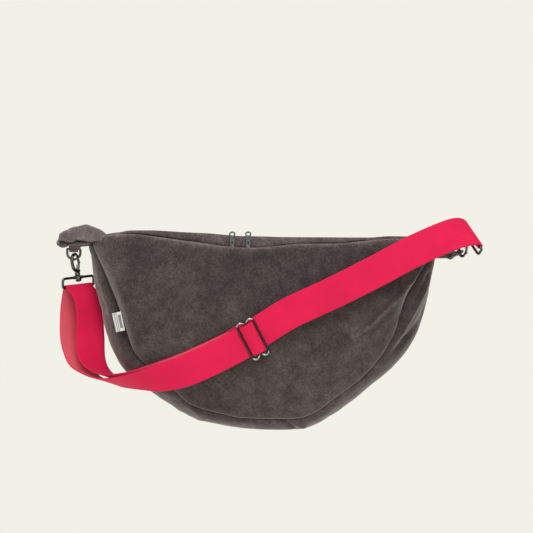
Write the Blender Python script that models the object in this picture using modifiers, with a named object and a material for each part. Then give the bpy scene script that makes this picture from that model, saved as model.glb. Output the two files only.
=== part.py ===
"""Crescent cross-body sling bag with a clip-on webbing strap.

World axes: +X to the bag's right end, +Y to its back, +Z up.  The bag stands
on its flattened base.  All dimensions below are in millimetres.
"""
import math

import bmesh
import bpy
import numpy as np
from mathutils import Matrix, Vector

MM = 0.001

# ---------------------------------------------------------------- dimensions
FABRIC_T = 2.0        # outer fabric with its backing
LINING_T = 0.8        # lining
WEB_W = 40.0          # strap webbing width
WEB_T = 1.6           # strap webbing thickness
WIRE_R = 1.7          # wire of the bails and D-rings
ZIP_Z = 224.0         # height of the zip tape
ZIP_X0, ZIP_X1 = -176.0, 152.0
TAPE_IN, TAPE_OUT = 2.6, 8.5
SLIDER_L_X, SLIDER_R_X = -43.5, -23.5
RUN_Y = -67.0         # plane of the straight part of the strap

# axis on which the strap swings: through both D-ring bars
AX_L = Vector((-241.5, 1.5, 225.0))
AX_R = Vector((231.0, 4.0, 217.0))


# ------------------------------------------------------------------- helpers
def remove_all():
    for ob in list(bpy.data.objects):
        bpy.data.objects.remove(ob, do_unlink=True)
    for block in (bpy.data.meshes, bpy.data.curves, bpy.data.materials):
        for item in list(block):
            block.remove(item)


remove_all()
COL = bpy.data.collections.new("sling_bag")
bpy.context.scene.collection.children.link(COL)

CENTRE = bpy.data.objects.new("bag_origin", None)
COL.objects.link(CENTRE)

PALETTE = {
    "suede": ((0.082, 0.066, 0.066), 0.95, 0.0),
    "lining": ((0.05, 0.045, 0.047), 0.9, 0.0),
    "webbing": ((0.80, 0.012, 0.085), 0.6, 0.0),
    "gunmetal": ((0.10, 0.10, 0.095), 0.25, 1.0),
    "zip_metal": ((0.20, 0.23, 0.21), 0.35, 1.0),
    "tape": ((0.03, 0.028, 0.03), 0.9, 0.0),
    "coil": ((0.04, 0.038, 0.04), 0.45, 0.0),
    "label": ((0.80, 0.80, 0.76), 0.8, 0.0),
}


def material(name, kind):
    colour, rough, metal = PALETTE[kind]
    mat = bpy.data.materials.new(name + "_material")
    mat.use_nodes = True
    bsdf = mat.node_tree.nodes["Principled BSDF"]
    bsdf.inputs["Base Color"].default_value = (*colour, 1.0)
    bsdf.inputs["Roughness"].default_value = rough
    bsdf.inputs["Metallic"].default_value = metal
    mat.diffuse_color = (*colour, 1.0)
    return mat


def adopt(ob, name, kind):
    """Name an object, give it its own material and put it in the collection."""
    ob.name = name
    ob.data.name = name
    for c in list(ob.users_collection):
        c.objects.unlink(ob)
    COL.objects.link(ob)
    ob.data.materials.clear()
    ob.data.materials.append(material(name, kind))
    return ob


def smooth(table, x):
    """Smooth monotone curve through (x, value) pairs (cubic Hermite)."""
    xs = [p[0] for p in table]
    ys = [p[1] for p in table]
    n = len(xs)
    if x <= xs[0]:
        return ys[0]
    if x >= xs[-1]:
        return ys[-1]
    d = [(ys[i + 1] - ys[i]) / (xs[i + 1] - xs[i]) for i in range(n - 1)]
    m = [d[0]] + [0.0 if d[i - 1] * d[i] <= 0 else 2 * d[i - 1] * d[i] / (d[i - 1] + d[i])
                  for i in range(1, n - 1)] + [d[-1]]
    i = max(k for k in range(n - 1) if xs[k] <= x)
    h = xs[i + 1] - xs[i]
    t = (x - xs[i]) / h
    return ((2 * t ** 3 - 3 * t ** 2 + 1) * ys[i] + (t ** 3 - 2 * t ** 2 + t) * h * m[i]
            + (-2 * t ** 3 + 3 * t ** 2) * ys[i + 1] + (t ** 3 - t ** 2) * h * m[i + 1])


def catmull(points, u):
    """Point on the Catmull-Rom curve through points, u from 0 to 1."""
    n = len(points) - 1
    s = min(max(u, 0.0), 1.0) * n
    i = min(int(s), n - 1)
    t = s - i
    p1, p2 = np.array(points[i], float), np.array(points[i + 1], float)
    p0 = np.array(points[i - 1], float) if i > 0 else 2 * p1 - p2
    p3 = np.array(points[i + 2], float) if i + 2 <= n else 2 * p2 - p1
    return 0.5 * (2 * p1 + (p2 - p0) * t + (2 * p0 - 5 * p1 + 4 * p2 - p3) * t * t
                  + (3 * p1 - p0 - 3 * p2 + p3) * t ** 3)


def shell(name, kind, fn, nu, nv, thickness, offset=1.0, shade=True, flip=False):
    """A curved sheet: a grid bent by fn(u, v) in mm, thickened by Solidify."""
    bpy.ops.mesh.primitive_grid_add(x_subdivisions=nu, y_subdivisions=nv, size=2.0)
    ob = bpy.context.active_object
    for v in ob.data.vertices:
        a, b = (v.co.x + 1) / 2, (v.co.y + 1) / 2
        v.co = Vector(fn(a, b)) * MM
    if flip:
        ob.data.flip_normals()
    adopt(ob, name, kind)
    mod = ob.modifiers.new("thickness", "SOLIDIFY")
    mod.thickness = thickness * MM
    mod.offset = offset
    mod.use_even_offset = False
    if shade:
        ob.data.shade_smooth()
    return ob


def wire(name, kind, points, radius, cyclic=False, resolution=2):
    """A bent wire: a POLY curve with a round section, in mm."""
    cu = bpy.data.curves.new(name, "CURVE")
    cu.dimensions = "3D"
    cu.bevel_depth = radius * MM
    cu.bevel_resolution = resolution
    cu.use_fill_caps = not cyclic
    sp = cu.splines.new("POLY")
    sp.points.add(len(points) - 1)
    for q, p in zip(sp.points, points):
        q.co = (*(Vector(p) * MM), 1.0)
    sp.use_cyclic_u = cyclic
    ob = bpy.data.objects.new(name, cu)
    COL.objects.link(ob)
    cu.materials.append(material(name, kind))
    return ob


def turned(name, kind, profile, place, segments=20):
    """A turned piece: an (r, z) profile spun about local z, then placed."""
    me = bpy.data.meshes.new(name)
    bm = bmesh.new()
    vs = [bm.verts.new((r * MM, 0, z * MM)) for r, z in profile]
    for a, b in zip(vs, vs[1:]):
        bm.edges.new((a, b))
    bm.to_mesh(me)
    bm.free()
    ob = bpy.data.objects.new(name, me)
    COL.objects.link(ob)
    me.materials.append(material(name, kind))
    mod = ob.modifiers.new("turn", "SCREW")
    mod.axis = "Z"
    mod.steps = segments
    mod.render_steps = segments
    mod.use_merge_vertices = True
    mod.merge_threshold = 0.00001
    mod.use_smooth_shade = True
    ob.matrix_world = place
    return ob


def block(name, kind, size, place, bevel=0.0):
    """A box of size (x, y, z) mm with rounded edges, placed by a matrix."""
    bpy.ops.mesh.primitive_cube_add(size=1.0)
    ob = bpy.context.active_object
    for v in ob.data.vertices:
        v.co = Vector((v.co.x * size[0], v.co.y * size[1], v.co.z * size[2])) * MM
    adopt(ob, name, kind)
    ob.matrix_world = place
    if bevel:
        mod = ob.modifiers.new("edge", "BEVEL")
        mod.width = bevel * MM
        mod.segments = 2
        mod.limit_method = "ANGLE"
    return ob


def frame_at(origin, x_dir, z_dir):
    """Matrix with its origin in mm and its x and z axes along two directions."""
    z = Vector(z_dir).normalized()
    x = Vector(x_dir)
    x = (x - z * x.dot(z)).normalized()
    y = z.cross(x)
    m = Matrix.Identity(4)
    for r in range(3):
        m[r][0], m[r][1], m[r][2] = x[r], y[r], z[r]
        m[r][3] = origin[r] * MM
    return m


def to_world(m, pts):
    return [tuple((m @ (Vector(p) * MM)) / MM) for p in pts]


# ------------------------------------------------------------ the bag's shape
# Upper edge of the front and back panels (x, z)
LIP = [(-214, 236), (-200, 243.5), (-169, 246), (-134, 242.5), (-99, 238), (-72, 234.5),
       (-46, 231), (-20, 230), (6, 231.3), (41, 234.5), (86, 234.7), (115, 237),
       (150, 240), (180, 239.5), (206, 235)]
# Seam between each panel and the gusset, and the outermost line of the gusset
SEAM = [(-214, 234), (-206, 208), (-197, 187), (-188, 166), (-181, 147), (-175, 128),
        (-165, 101), (-146, 81), (-117, 54), (-97, 36), (-76, 28), (-56, 23), (-31, 18),
        (0, 17), (25, 16.5), (40, 17.5), (60, 25), (86, 44), (115, 66), (139, 92),
        (156, 119), (165, 144), (174, 172), (188, 194), (200, 213), (206, 232)]
CREST = [(-221, 229), (-217, 204), (-213, 178), (-208, 153), (-202.5, 129), (-196, 106),
         (-182, 79), (-158, 55), (-130, 34.5), (-107, 19), (-87, 4), (-62, -3), (-32, -5),
         (0, -5), (30, -4.5), (48, -0.5), (73, 11), (103, 32), (131, 55), (160, 80),
         (181, 108), (193.5, 138), (200, 165), (204.5, 190), (208.5, 209), (212, 229)]
HALF = [11, 18, 26, 33, 38, 41, 43, 44, 44, 44, 44, 44, 44, 44, 44, 44, 44, 44, 44, 43,
        41, 37, 31, 23, 15, 11]   # half depth at the seam
SEAM_X = [(p[0], p[1]) for p in SEAM]
HALF_X = [(p[0], h) for p, h in zip(SEAM, HALF)]
MOUTH = [(-214, 7), (-195, 11), (-170, 16), (-120, 22), (-20, 25), (80, 23), (130, 19),
         (170, 13), (190, 9), (206, 7)]   # half gap between the lips


def panel_depth(x, f):
    """Half depth of a panel at x, f from 0 at its seam to 1 at its lip."""
    a, b = smooth(HALF_X, x), smooth(MOUTH, x)
    h = smooth(LIP, x) - smooth(SEAM_X, x)
    bulge = 19.5 * min(1.0, h / 190.0)
    return a + (b - a) * f ** 1.6 + bulge * math.sin(math.pi * f ** 0.75)


PANEL_X0, PANEL_X1 = -211.0, 203.0


def panel(side, inset, x0=PANEL_X0, x1=PANEL_X1, top=1.0):
    """Front (side -1) or back (side +1) panel, moved inwards by inset."""
    def fn(u, v):
        e = 0.5 - 0.5 * math.cos(math.pi * u)
        x = x0 + (x1 - x0) * (0.35 * u + 0.65 * e)
        lo, hi = smooth(SEAM_X, x) + 1.6 + inset * 1.5, smooth(LIP, x) - inset * top
        f = v
        z = lo + (hi - lo) * f
        y = panel_depth(x, f) - inset
        return (x, side * y, z)
    return fn


def gusset_point(u, t, grow=0.0):
    """Point of the gusset: u along it from left to right, t across, -1 front to 1 back."""
    fx, fz = catmull(SEAM, u)
    sx, sz = catmull(CREST, u)
    h = catmull([(a, 0) for a in HALF], u)[0]
    g = (1 - abs(t) ** 2.3) ** 0.75
    x, z = fx + (sx - fx) * g, fz + (sz - fz) * g
    return (x, h * t, max(z, grow))


shell("front_panel", "suede", panel(-1, 0.0), 30, 11, FABRIC_T, offset=-1.0)
shell("back_panel", "suede", panel(1, 0.0), 30, 11, FABRIC_T, offset=-1.0, flip=True)
shell("gusset", "suede", lambda u, v: gusset_point(0.01 + 0.98 * u, -0.975 + 1.95 * v), 50, 12,
      FABRIC_T, offset=1.0)
shell("lining_front", "lining", panel(-1, 4.2, -170, 164, 4.0), 20, 6, LINING_T, offset=-1.0)
shell("lining_back", "lining", panel(1, 4.2, -170, 164, 4.0), 20, 6, LINING_T, offset=-1.0, flip=True)

# --------------------------------------------------------------- mouth and zip


def facing(side):
    """Fabric from a lip down to the zip tape."""
    def fn(u, v):
        x = -196 + 384 * u
        y0, z0 = smooth(MOUTH, x) - 2.8, smooth(LIP, x) - 1.0
        y1 = min(TAPE_OUT + 0.6, y0 - 0.4)
        z1 = ZIP_Z + 1.2
        return (x, side * (y0 + (y1 - y0) * v), z0 + (z1 - z0) * v ** 1.4)
    return fn


shell("facing_front", "suede", facing(-1), 26, 5, 1.2, offset=0.0, flip=True)
shell("facing_back", "suede", facing(1), 26, 5, 1.2, offset=0.0)


def tape_place(side):
    c = ((ZIP_X0 + ZIP_X1) / 2, side * (TAPE_IN + TAPE_OUT) / 2, ZIP_Z - 0.6)
    return Matrix.Translation(Vector(c) * MM)


TAPE_L = ZIP_X1 - ZIP_X0
block("zip_tape_front", "tape", (TAPE_L, TAPE_OUT - TAPE_IN, 0.8), tape_place(-1))
block("zip_tape_back", "tape", (TAPE_L, TAPE_OUT - TAPE_IN, 0.8), tape_place(1))
for side, nm in ((-1, "front"), (1, "back")):
    wire("zip_coil_" + nm, "coil",
         [(ZIP_X0 + 6 + (TAPE_L - 12) * k / 12, side * 1.15, ZIP_Z) for k in range(13)], 0.95,
         resolution=1)
for x, nm in ((ZIP_X0 + 3.5, "left"), (ZIP_X1 - 3.5, "right")):
    block("zip_stop_" + nm, "zip_metal", (3.2, 4.6, 2.2),
          Matrix.Translation(Vector((x, 0, ZIP_Z + 0.1)) * MM), bevel=0.4)


def slider(name, x):
    """Zip slider: two rounded plates over and under the coil, joined by a bridge."""
    def plate(z0, z1, w):
        bpy.ops.mesh.primitive_cube_add(size=1.0)
        ob = bpy.context.active_object
        for v in ob.data.vertices:
            s = 1.0 if v.co.x > 0 else 0.78
            v.co = Vector((v.co.x * 11.0, v.co.y * w * s, (z0 + z1) / 2 + v.co.z * (z1 - z0))) * MM
        return ob
    a = plate(1.25, 2.55, 8.0)
    b = plate(2.2, 4.3, 2.4)
    b.data.transform(Matrix.Diagonal((0.62, 1.0, 1.0, 1.0)))
    adopt(a, name, "zip_metal")
    mod = a.modifiers.new("bridge", "BOOLEAN")
    mod.operation = "UNION"
    mod.object = b
    mod.solver = "EXACT"
    b.name = name + "_bridge"
    b.hide_render = True
    b.display_type = "WIRE"
    for c in list(b.users_collection):
        c.objects.unlink(b)
    CUT.objects.link(b)
    for o in (a, b):
        o.location = Vector((x, 0, ZIP_Z)) * MM
    return a


CUT = bpy.data.collections.new("cutters")
bpy.context.scene.collection.children.link(CUT)

slider("zip_slider_left", SLIDER_L_X)
slider("zip_slider_right", SLIDER_R_X)
PULL_PIVOT_Z = ZIP_Z + 6.2
PULL_LEAN = math.radians(44)


def pull(name, x):
    """Zip pull: a flat tongue with a round eye at its free end, leaning back."""
    pts = []
    # outline in the pull's own plane: local x across, local y along
    for a in range(-60, 241, 25):
        t = math.radians(a)
        pts.append((4.1 * math.cos(t), 17.0 + 4.1 * math.sin(t)))
    outline = [(2.4, -1.4), (2.9, 9.5)] + pts + [(-2.9, 9.5), (-2.4, -1.4)]
    cu = bpy.data.curves.new(name, "CURVE")
    cu.dimensions = "2D"
    cu.fill_mode = "BOTH"
    cu.extrude = 0.65 * MM

    def loop(ring):
        sp = cu.splines.new("POLY")
        sp.points.add(len(ring) - 1)
        for q, p in zip(sp.points, ring):
            q.co = (p[0] * MM, p[1] * MM, 0, 1)
        sp.use_cyclic_u = True
    loop(outline)
    loop([(2.1 * math.cos(math.tau * k / 12), 17.0 + 2.1 * math.sin(math.tau * k / 12))
          for k in range(12)])
    loop([(1.2 * math.cos(math.tau * k / 8), 3.4 + 1.9 * math.sin(math.tau * k / 8))
          for k in range(8)])
    ob = bpy.data.objects.new(name, cu)
    COL.objects.link(ob)
    cu.materials.append(material(name, "zip_metal"))
    ob.matrix_world = (Matrix.Translation(Vector((x, 0.6, PULL_PIVOT_Z)) * MM)
                       @ Matrix.Rotation(PULL_LEAN, 4, "X"))
    return ob


pull("zip_pull_left", SLIDER_L_X)
pull("zip_pull_right", SLIDER_R_X)

# ------------------------------------------------------------------ side label
LABEL = frame_at((-186.6, -44.6, 141.0), (-0.25, 0.0, 1.0), (-0.42, -0.90, 0.1))
block("side_label", "label", (22.0, 10.5, 0.7), LABEL, bevel=0.2)

# ------------------------------------------------------------- ear tabs, loops


def tube(name, kind, rings, power=2.4, seg=14):
    """A soft closed form through elliptical rings: (centre, across, half w, half h)."""
    me = bpy.data.meshes.new(name)
    bm = bmesh.new()
    loops = []
    n = len(rings)
    for i, (c, hw, hh) in enumerate(rings):
        a = Vector(rings[max(i - 1, 0)][0])
        b = Vector(rings[min(i + 1, n - 1)][0])
        t = (b - a).normalized()
        side = Vector((0, 1, 0))
        side = (side - t * side.dot(t)).normalized()
        up = t.cross(side)
        ring = []
        for k in range(seg):
            ph = math.tau * k / seg
            cs, sn = math.cos(ph), math.sin(ph)
            px = math.copysign(abs(cs) ** (2 / power), cs) * hw
            py = math.copysign(abs(sn) ** (2 / power), sn) * hh
            ring.append(bm.verts.new((Vector(c) + side * px + up * py) * MM))
        loops.append(ring)
    for r0, r1 in zip(loops, loops[1:]):
        for k in range(seg):
            bm.faces.new((r0[k], r0[(k + 1) % seg], r1[(k + 1) % seg], r1[k]))
    bm.faces.new(list(reversed(loops[0])))
    bm.faces.new(loops[-1])
    bmesh.ops.recalc_face_normals(bm, faces=bm.faces)
    bm.to_mesh(me)
    bm.free()
    ob = bpy.data.objects.new(name, me)
    COL.objects.link(ob)
    me.materials.append(material(name, kind))
    me.shade_smooth()
    return ob


tube("ear_tab_left", "suede", [
    ((-212.8, 0, 241.5), 9, 4.8), ((-217, 0, 243.5), 13, 7.0), ((-224, 0, 245.3), 15.5, 9.0),
    ((-233, 0, 244.3), 15.5, 9.0), ((-243, 0, 241.0), 14.5, 7.6), ((-253, 0, 237.5), 12.5, 6.6),
    ((-259.5, 0, 234.0), 8.5, 4.5)])
tube("ear_tab_right", "suede", [
    ((213.3, 1, 220.0), 8, 6.2), ((217, 2, 218.8), 10.5, 7.0), ((220.5, 3, 217.8), 10.5, 6.2),
    ((223.4, 3.4, 217.2), 9, 4.4)])

AXIS = (AX_R - AX_L).normalized()
# left loop: fabric wrapped round the D-ring's bar, which lies along the swing axis
LEFT_RING = frame_at(AX_L, AXIS, (0, 0, 1))
RIGHT_RING = frame_at(AX_R, (0, 1, 0), (-0.813, 0.489, -0.324))


def tunnel(name, kind, place, r_in, r_out, length, seg=20):
    """A short sleeve about local x."""
    prof = [(r_in, -length / 2), (r_in, length / 2), (r_out, length / 2), (r_out, -length / 2),
            (r_in, -length / 2)]
    return turned(name, kind, prof, place @ Matrix.Rotation(math.pi / 2, 4, "Y"), seg)


tunnel("tab_loop_left", "suede", LEFT_RING, 2.1, 4.2, 10.5)
tunnel("tab_loop_right", "suede", RIGHT_RING, 2.1, 4.2, 12.5)


def d_ring(name, place, half_w, height):
    """A D-ring: straight bar along local x, arc hanging to local -z."""
    pts = [(-half_w + 2 * half_w * k / 6, 0, 0) for k in range(1, 6)]
    pts = [(-half_w, 0, 0)] + pts + [(half_w, 0, 0)]
    for k in range(0, 13):
        a = math.pi * k / 12
        pts.append((half_w * math.cos(a), 0, -(height - half_w) - half_w * math.sin(a)))
    return wire(name, "gunmetal", to_world(place, pts), 1.6, cyclic=True)


d_ring("d_ring_left", LEFT_RING, 8.2, 13.2)
d_ring("d_ring_right", RIGHT_RING, 9.0, 15.2)

# --------------------------------------------------- bails and swivel snap hooks
BAIL_H = 12.0
LB_CEN = Vector((-236.5, 7.0, 176.3))
LB_DIR = Vector((0.80, 0.60, 0.0)).normalized()
RB_CEN = Vector((254.8, -28.0, 247.6))
RB_DIR = Vector((0.514, -0.478, -0.712)).normalized()
LH_Z = Vector((-4.7, -5.2, 29.4)).normalized()   # hooks may lean a little in their eyes
RH_Z = Vector((-0.327, 0.658, -0.679)).normalized()


def bail(name, place):
    """Strap bail: wire from one side of the swivel eye round to the other."""
    w = WEB_W / 2 + 3.2
    pts = [(-5.4, 0, 0), (-w + 2.5, 0, 0), (-w + 0.6, 0, -0.8), (-w, 0, -2.6), (-w, 0, -6),
           (-w, 0, -BAIL_H + 2.2), (-w + 0.7, 0, -BAIL_H + 0.6), (-w + 2.4, 0, -BAIL_H)]
    pts += [(-12, 0, -BAIL_H), (0, 0, -BAIL_H), (12, 0, -BAIL_H)]
    pts += [(-x, y, z) for x, y, z in reversed(pts[:8])]
    return wire(name, "gunmetal", to_world(place, pts), WIRE_R)


def hook_set(side, cen, bar, up, lean, twist):
    """Bail, eye, stem, hook body, gate, pin and spring, along local +z from the bail bar."""
    m0 = frame_at(cen, bar, up) @ Matrix.Translation(Vector((0, 0, BAIL_H)) * MM)
    bail("strap_bail_" + side, m0)
    turned("swivel_eye_" + side, "gunmetal",
           [(3.0, -2.0), (3.0, 2.0), (4.4, 2.0), (5.0, 1.2), (5.0, -1.2), (4.4, -2.0), (3.0, -2.0)],
           m0, 18)
    m = frame_at(m0.translation / MM, bar, lean) @ Matrix.Rotation(math.radians(twist), 4, "Z")
    turned("swivel_stem_" + side, "gunmetal",
           [(0, -5.2), (2.6, -5.2), (3.7, -4.6), (3.7, -3.3), (1.9, -3.3), (1.9, 3.3), (3.3, 3.3),
            (3.5, 5.2), (2.6, 6.2), (0, 6.2)][::-1], m, 16)
    # hook body: from the stem up one side and over to the tip, open at the gate
    pts = [(0, 0, 6.7), (-0.2, 0, 8.2), (-2.2, 0, 10.0), (-4.7, 0, 12.0), (-6.2, 0, 14.2), (-7.0, 0, 18.5),
           (-7.0, 0, 22.8), (-6.3, 0, 26.3), (-4.5, 0, 29.1), (-1.6, 0, 30.4), (1.8, 0, 30.2),
           (4.6, 0, 28.6), (6.2, 0, 25.5)]
    wire("hook_body_" + side, "gunmetal", to_world(m, pts), 2.0)
    gate = [(2.6, 0, 9.5), (4.6, 0, 12.0), (6.2, 0, 15.6), (6.8, 0, 19.5), (6.6, 0, 22.6)]
    wire("hook_gate_" + side, "gunmetal", to_world(m, gate), 1.5)
    wire("gate_pin_" + side, "gunmetal", to_world(m, [(3.0, -2.6, 8.0), (3.0, 2.6, 8.0)]), 0.55)
    leaf = [(0.42, 0, 11.0), (0.5, 0, 13.0), (1.0, 0, 15.0), (1.4, 0, 16.8)]
    wire("gate_spring_" + side, "gunmetal", to_world(m, leaf), 0.35, resolution=1)
    return m


LH = hook_set("left", LB_CEN, LB_DIR, (0, 0, 1), LH_Z, 22)
RH = hook_set("right", RB_CEN, RB_DIR, RH_Z, RH_Z, 8)

# ------------------------------------------------------------------ the strap


def ribbon(name, stations, n, thickness=WEB_T, across=4, kind="webbing"):
    """Webbing through stations of (one edge, other edge) points, in mm."""
    near = [s[0] for s in stations]
    far = [s[1] for s in stations]

    def fn(u, v):
        a, b = catmull(near, u), catmull(far, u)
        return tuple(a + (b - a) * v)
    return shell(name, kind, fn, n, across, thickness, offset=0.0)


# Directions in the plane of the straight run, and the adjuster's centre
SL = Vector((0.8925, 0.0, 0.4510))           # along the straight run, up to the right
CROSS = Vector((0.4510, 0.0, -0.8925))       # from its upper to its lower edge
ADJ = Vector((-17.7, RUN_Y - 2.7, 123.4))
WRAP_R = WIRE_R + WEB_T / 2 + 0.45


def across(p, y=None):
    """Station whose upper edge is p, with the band in the plane of the straight run."""
    q = Vector(p) + CROSS * WEB_W
    return (tuple(p), (q.x, p[1] if y is None else y, q.z))


def wrap(cen, bar, start, ahead, radius, steps):
    """Half a turn of a band round a bar, from the side `start`, moving `ahead`."""
    out = []
    half = Vector(bar).normalized() * WEB_W / 2
    for k in range(steps + 1):
        t = math.radians(8 + 164 * k / steps)
        c = Vector(cen) + (start * math.cos(t) + ahead * math.sin(t)) * radius
        out.append((tuple(c - half), tuple(c + half)))
    return out


# left end: up behind the bar, over it and down in front; edges are (near, far)
L_BACK = Vector((-0.6, 0.8, 0.0))
left_turn = wrap(LB_CEN, LB_DIR, L_BACK, Vector((0, 0, 1)), WRAP_R, 8)
# right end: the band arrives over the bar's upper side and turns under it
R_AHEAD = Vector((0.423, 0.864, -0.275))
R_AHEAD = (R_AHEAD - RB_DIR * R_AHEAD.dot(RB_DIR)).normalized()
R_TOP = RB_DIR.cross(R_AHEAD).normalized()
right_turn = wrap(RB_CEN, RB_DIR, R_TOP, R_AHEAD, WRAP_R, 8)

LOOP_OUT = [                                  # outer layer of the left loop: (near, far)
    left_turn[0],
    ((-256, 0, 167), (-225, 25, 166)), ((-257.5, -1, 152), (-226.5, 24, 150)),
    ((-257.5, -3, 130), (-226, 21.5, 127)), ((-256, -6, 113), (-224, 15.5, 106)),
    ((-252, -10, 97), (-219.5, 9, 86)), ((-245, -18, 82), (-212, 0.5, 69)),
    ((-233, -28, 73.5), (-202, -8, 60.5)), ((-220, -38, 69.5), (-191, -13.5, 57)),
    ((-206, -48, 69.3), (-181, -21, 54)), ((-190, -57, 72.5), (-169.5, -28.5, 53.5)),
    ((-172.5, -63, 77.3), (-153, -38, 53.2)), ((-147.5, RUN_Y + 0.5, 86.4), (-133, -49, 53.5)),
    ((-116.2, RUN_Y, 100.3), (-99, -64.5, 64.5))]
FRONT_RUN = [across(p) for p in (
    (-81.2, RUN_Y, 117.0), (-45.0, RUN_Y, 135.4), (-15.0, RUN_Y, 152.6), (16.2, RUN_Y, 169.6),
    (50.0, RUN_Y, 186.6))] + [
    ((82.5, -66, 203.2), (100.5, -67, 167.6)), ((128.8, -56, 225.5), (146.8, -60, 190.2)),
    ((165, -45, 243.5), (183, -52, 208.5)), ((191.2, -37, 254.8), (210, -47, 220.8)),
    ((213, -30.5, 263.2), (231, -43.5, 229.5)), ((229.5, -27, 268), (246, -43, 235.5)),
    ((240.8, -26.0, 268.4), (260.4, -43.4, 238.6)), right_turn[0]]
LOOP_IN = [                                   # inner layer of the left loop: (near, far)
    left_turn[-1],
    ((-243.5, -9, 168), (-214.8, 18.5, 167)), ((-239, -11, 155), (-212.2, 18.4, 153)),
    ((-237.5, -12, 135), (-209.2, 15.7, 134)), ((-239, -14, 114), (-206, 7.5, 111)),
    ((-237, -18.5, 95), (-203.5, 2, 89)), ((-230, -25, 82.5), (-199, -2, 74)),
    ((-217.5, -34.5, 75.5), (-190, -8, 65.5)), ((-203.8, -44, 73.6), (-179.5, -16, 58.4)),
    ((-188.5, -53.6, 76.2), (-168, -25.6, 57.2)), ((-171.5, -60, 80.4), (-152, -35, 56.4)),
    ((-147.5, -63.3, 89.0), (-133, -46.2, 56.2)), ((-117.2, -64.3, 102.4), (-100, -62.0, 66.8)),
    across((-82.2, RUN_Y + 2.6, 119.2)), across((-50.0, RUN_Y + 2.6, 135.5))]


def trim(stations, first=0.0, last=0.0):
    """Shorten a run of stations by `first` and `last` mm at its ends."""
    out = list(stations)
    for end, cut in ((0, first), (-1, last)):
        if cut:
            a, b = out[end], out[1 if end == 0 else -2]
            d = (Vector(b[0]) - Vector(a[0])).length
            out[end] = tuple(tuple(Vector(p) + (Vector(q) - Vector(p)) * cut / d)
                             for p, q in zip(a, b))
    return out


def ribbon(name, stations, n, across_n=3, thickness=WEB_T, kind="webbing", flip=False):
    """Webbing through stations of (one edge, other edge) points."""
    near = [s[0] for s in stations]
    far = [s[1] for s in stations]

    def fn(u, v):
        a, b = catmull(near, u), catmull(far, u)
        return tuple(a + (b - a) * v)
    return shell(name, kind, fn, n, across_n, thickness, offset=0.0, flip=flip)


ribbon("strap_main_run", trim(LOOP_OUT + FRONT_RUN, 0.6, 1.3), 64)
ribbon("strap_return_run", trim(LOOP_IN, 0.5, 0.0), 34)
ribbon("strap_wrap_left", left_turn, 10, 2)

# right end: round the bar and a short sewn tail under the main run
tail = list(right_turn)
for s, drop in ((FRONT_RUN[-2], 3.4), (FRONT_RUN[-3], 3.0), (FRONT_RUN[-4], 3.0)):
    a, b = Vector(s[0]), Vector(s[1])
    out = Vector((0.35, 0.0, 1.0))
    if s is not FRONT_RUN[-2]:
        out = Vector((-0.1, -0.8, 0.45))
    w = (b - a).normalized()
    out = (out - w * out.dot(w)).normalized()
    tail.append((tuple(a - out * drop), tuple(b - out * drop)))
ribbon("strap_wrap_right", tail, 24, 2)

# ------------------------------------------------------------- slide adjuster


def adj(a, b, c=0.0):
    """Point of the adjuster: a along the strap, b across it, c towards the front."""
    p = ADJ + SL * a + CROSS * b + Vector((0, -1, 0)) * c
    return tuple(p)


AW, AH, AR = 11.2, 22.6, 3.2                  # half width, half height, corner radius
corner = []
for cx, cz, a0 in ((AW - AR, AH - AR, 0), (-AW + AR, AH - AR, 90), (-AW + AR, -AH + AR, 180),
                   (AW - AR, -AH + AR, 270)):
    for k in range(5):
        t = math.radians(a0 + 22.5 * k)
        corner.append(adj(cx + AR * math.cos(t), cz + AR * math.sin(t)))
wire("adjuster_frame", "gunmetal", corner, 1.25, cyclic=True)
wire("adjuster_middle_bar", "gunmetal", [adj(0, -20.9, 0.0), adj(0, 20.9, 0.0)], 1.0)
HUMP = [(-8.6, -0.2), (-6.6, 1.2), (-3.4, 2.6), (0, 3.0), (3.4, 2.6), (6.6, 1.2), (8.6, -0.2)]
ribbon("strap_hump", [(adj(a, -20.0, c + 0.3), adj(a, 20.0, c + 0.3)) for a, c in HUMP], 12, 2,
       1.2)
ribbon("strap_sewn_end", [(adj(a, -20.2, -7.2), adj(a, 19.8, -7.2)) for a in (-30, -18, -6)],
       6, 2, 1.2)

# -------------------------------------------------- stand the bag on its origin
bpy.context.view_layer.update()
deps = bpy.context.evaluated_depsgraph_get()
lo, hi = Vector((1e9,) * 3), Vector((-1e9,) * 3)
for ob in COL.objects:
    if ob.type == "EMPTY":
        continue
    ev = ob.evaluated_get(deps)
    me = ev.to_mesh()
    for v in me.vertices:
        p = ob.matrix_world @ v.co
        for i in range(3):
            lo[i], hi[i] = min(lo[i], p[i]), max(hi[i], p[i])
    ev.to_mesh_clear()
SHIFT = Vector((-(lo.x + hi.x) / 2, -(lo.y + hi.y) / 2, -lo.z))
SHIFT = Vector([round(v, 6) for v in SHIFT])
for ob in list(COL.objects) + list(CUT.objects):
    if ob.type != "EMPTY" and ob.parent is None:
        ob.matrix_world = Matrix.Translation(SHIFT) @ ob.matrix_world


# moving pieces get their origin on their joint's axis
def hook_pin(m):
    return (m @ (Vector((3.0, 0, 8.0)) * MM)) / MM


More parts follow.
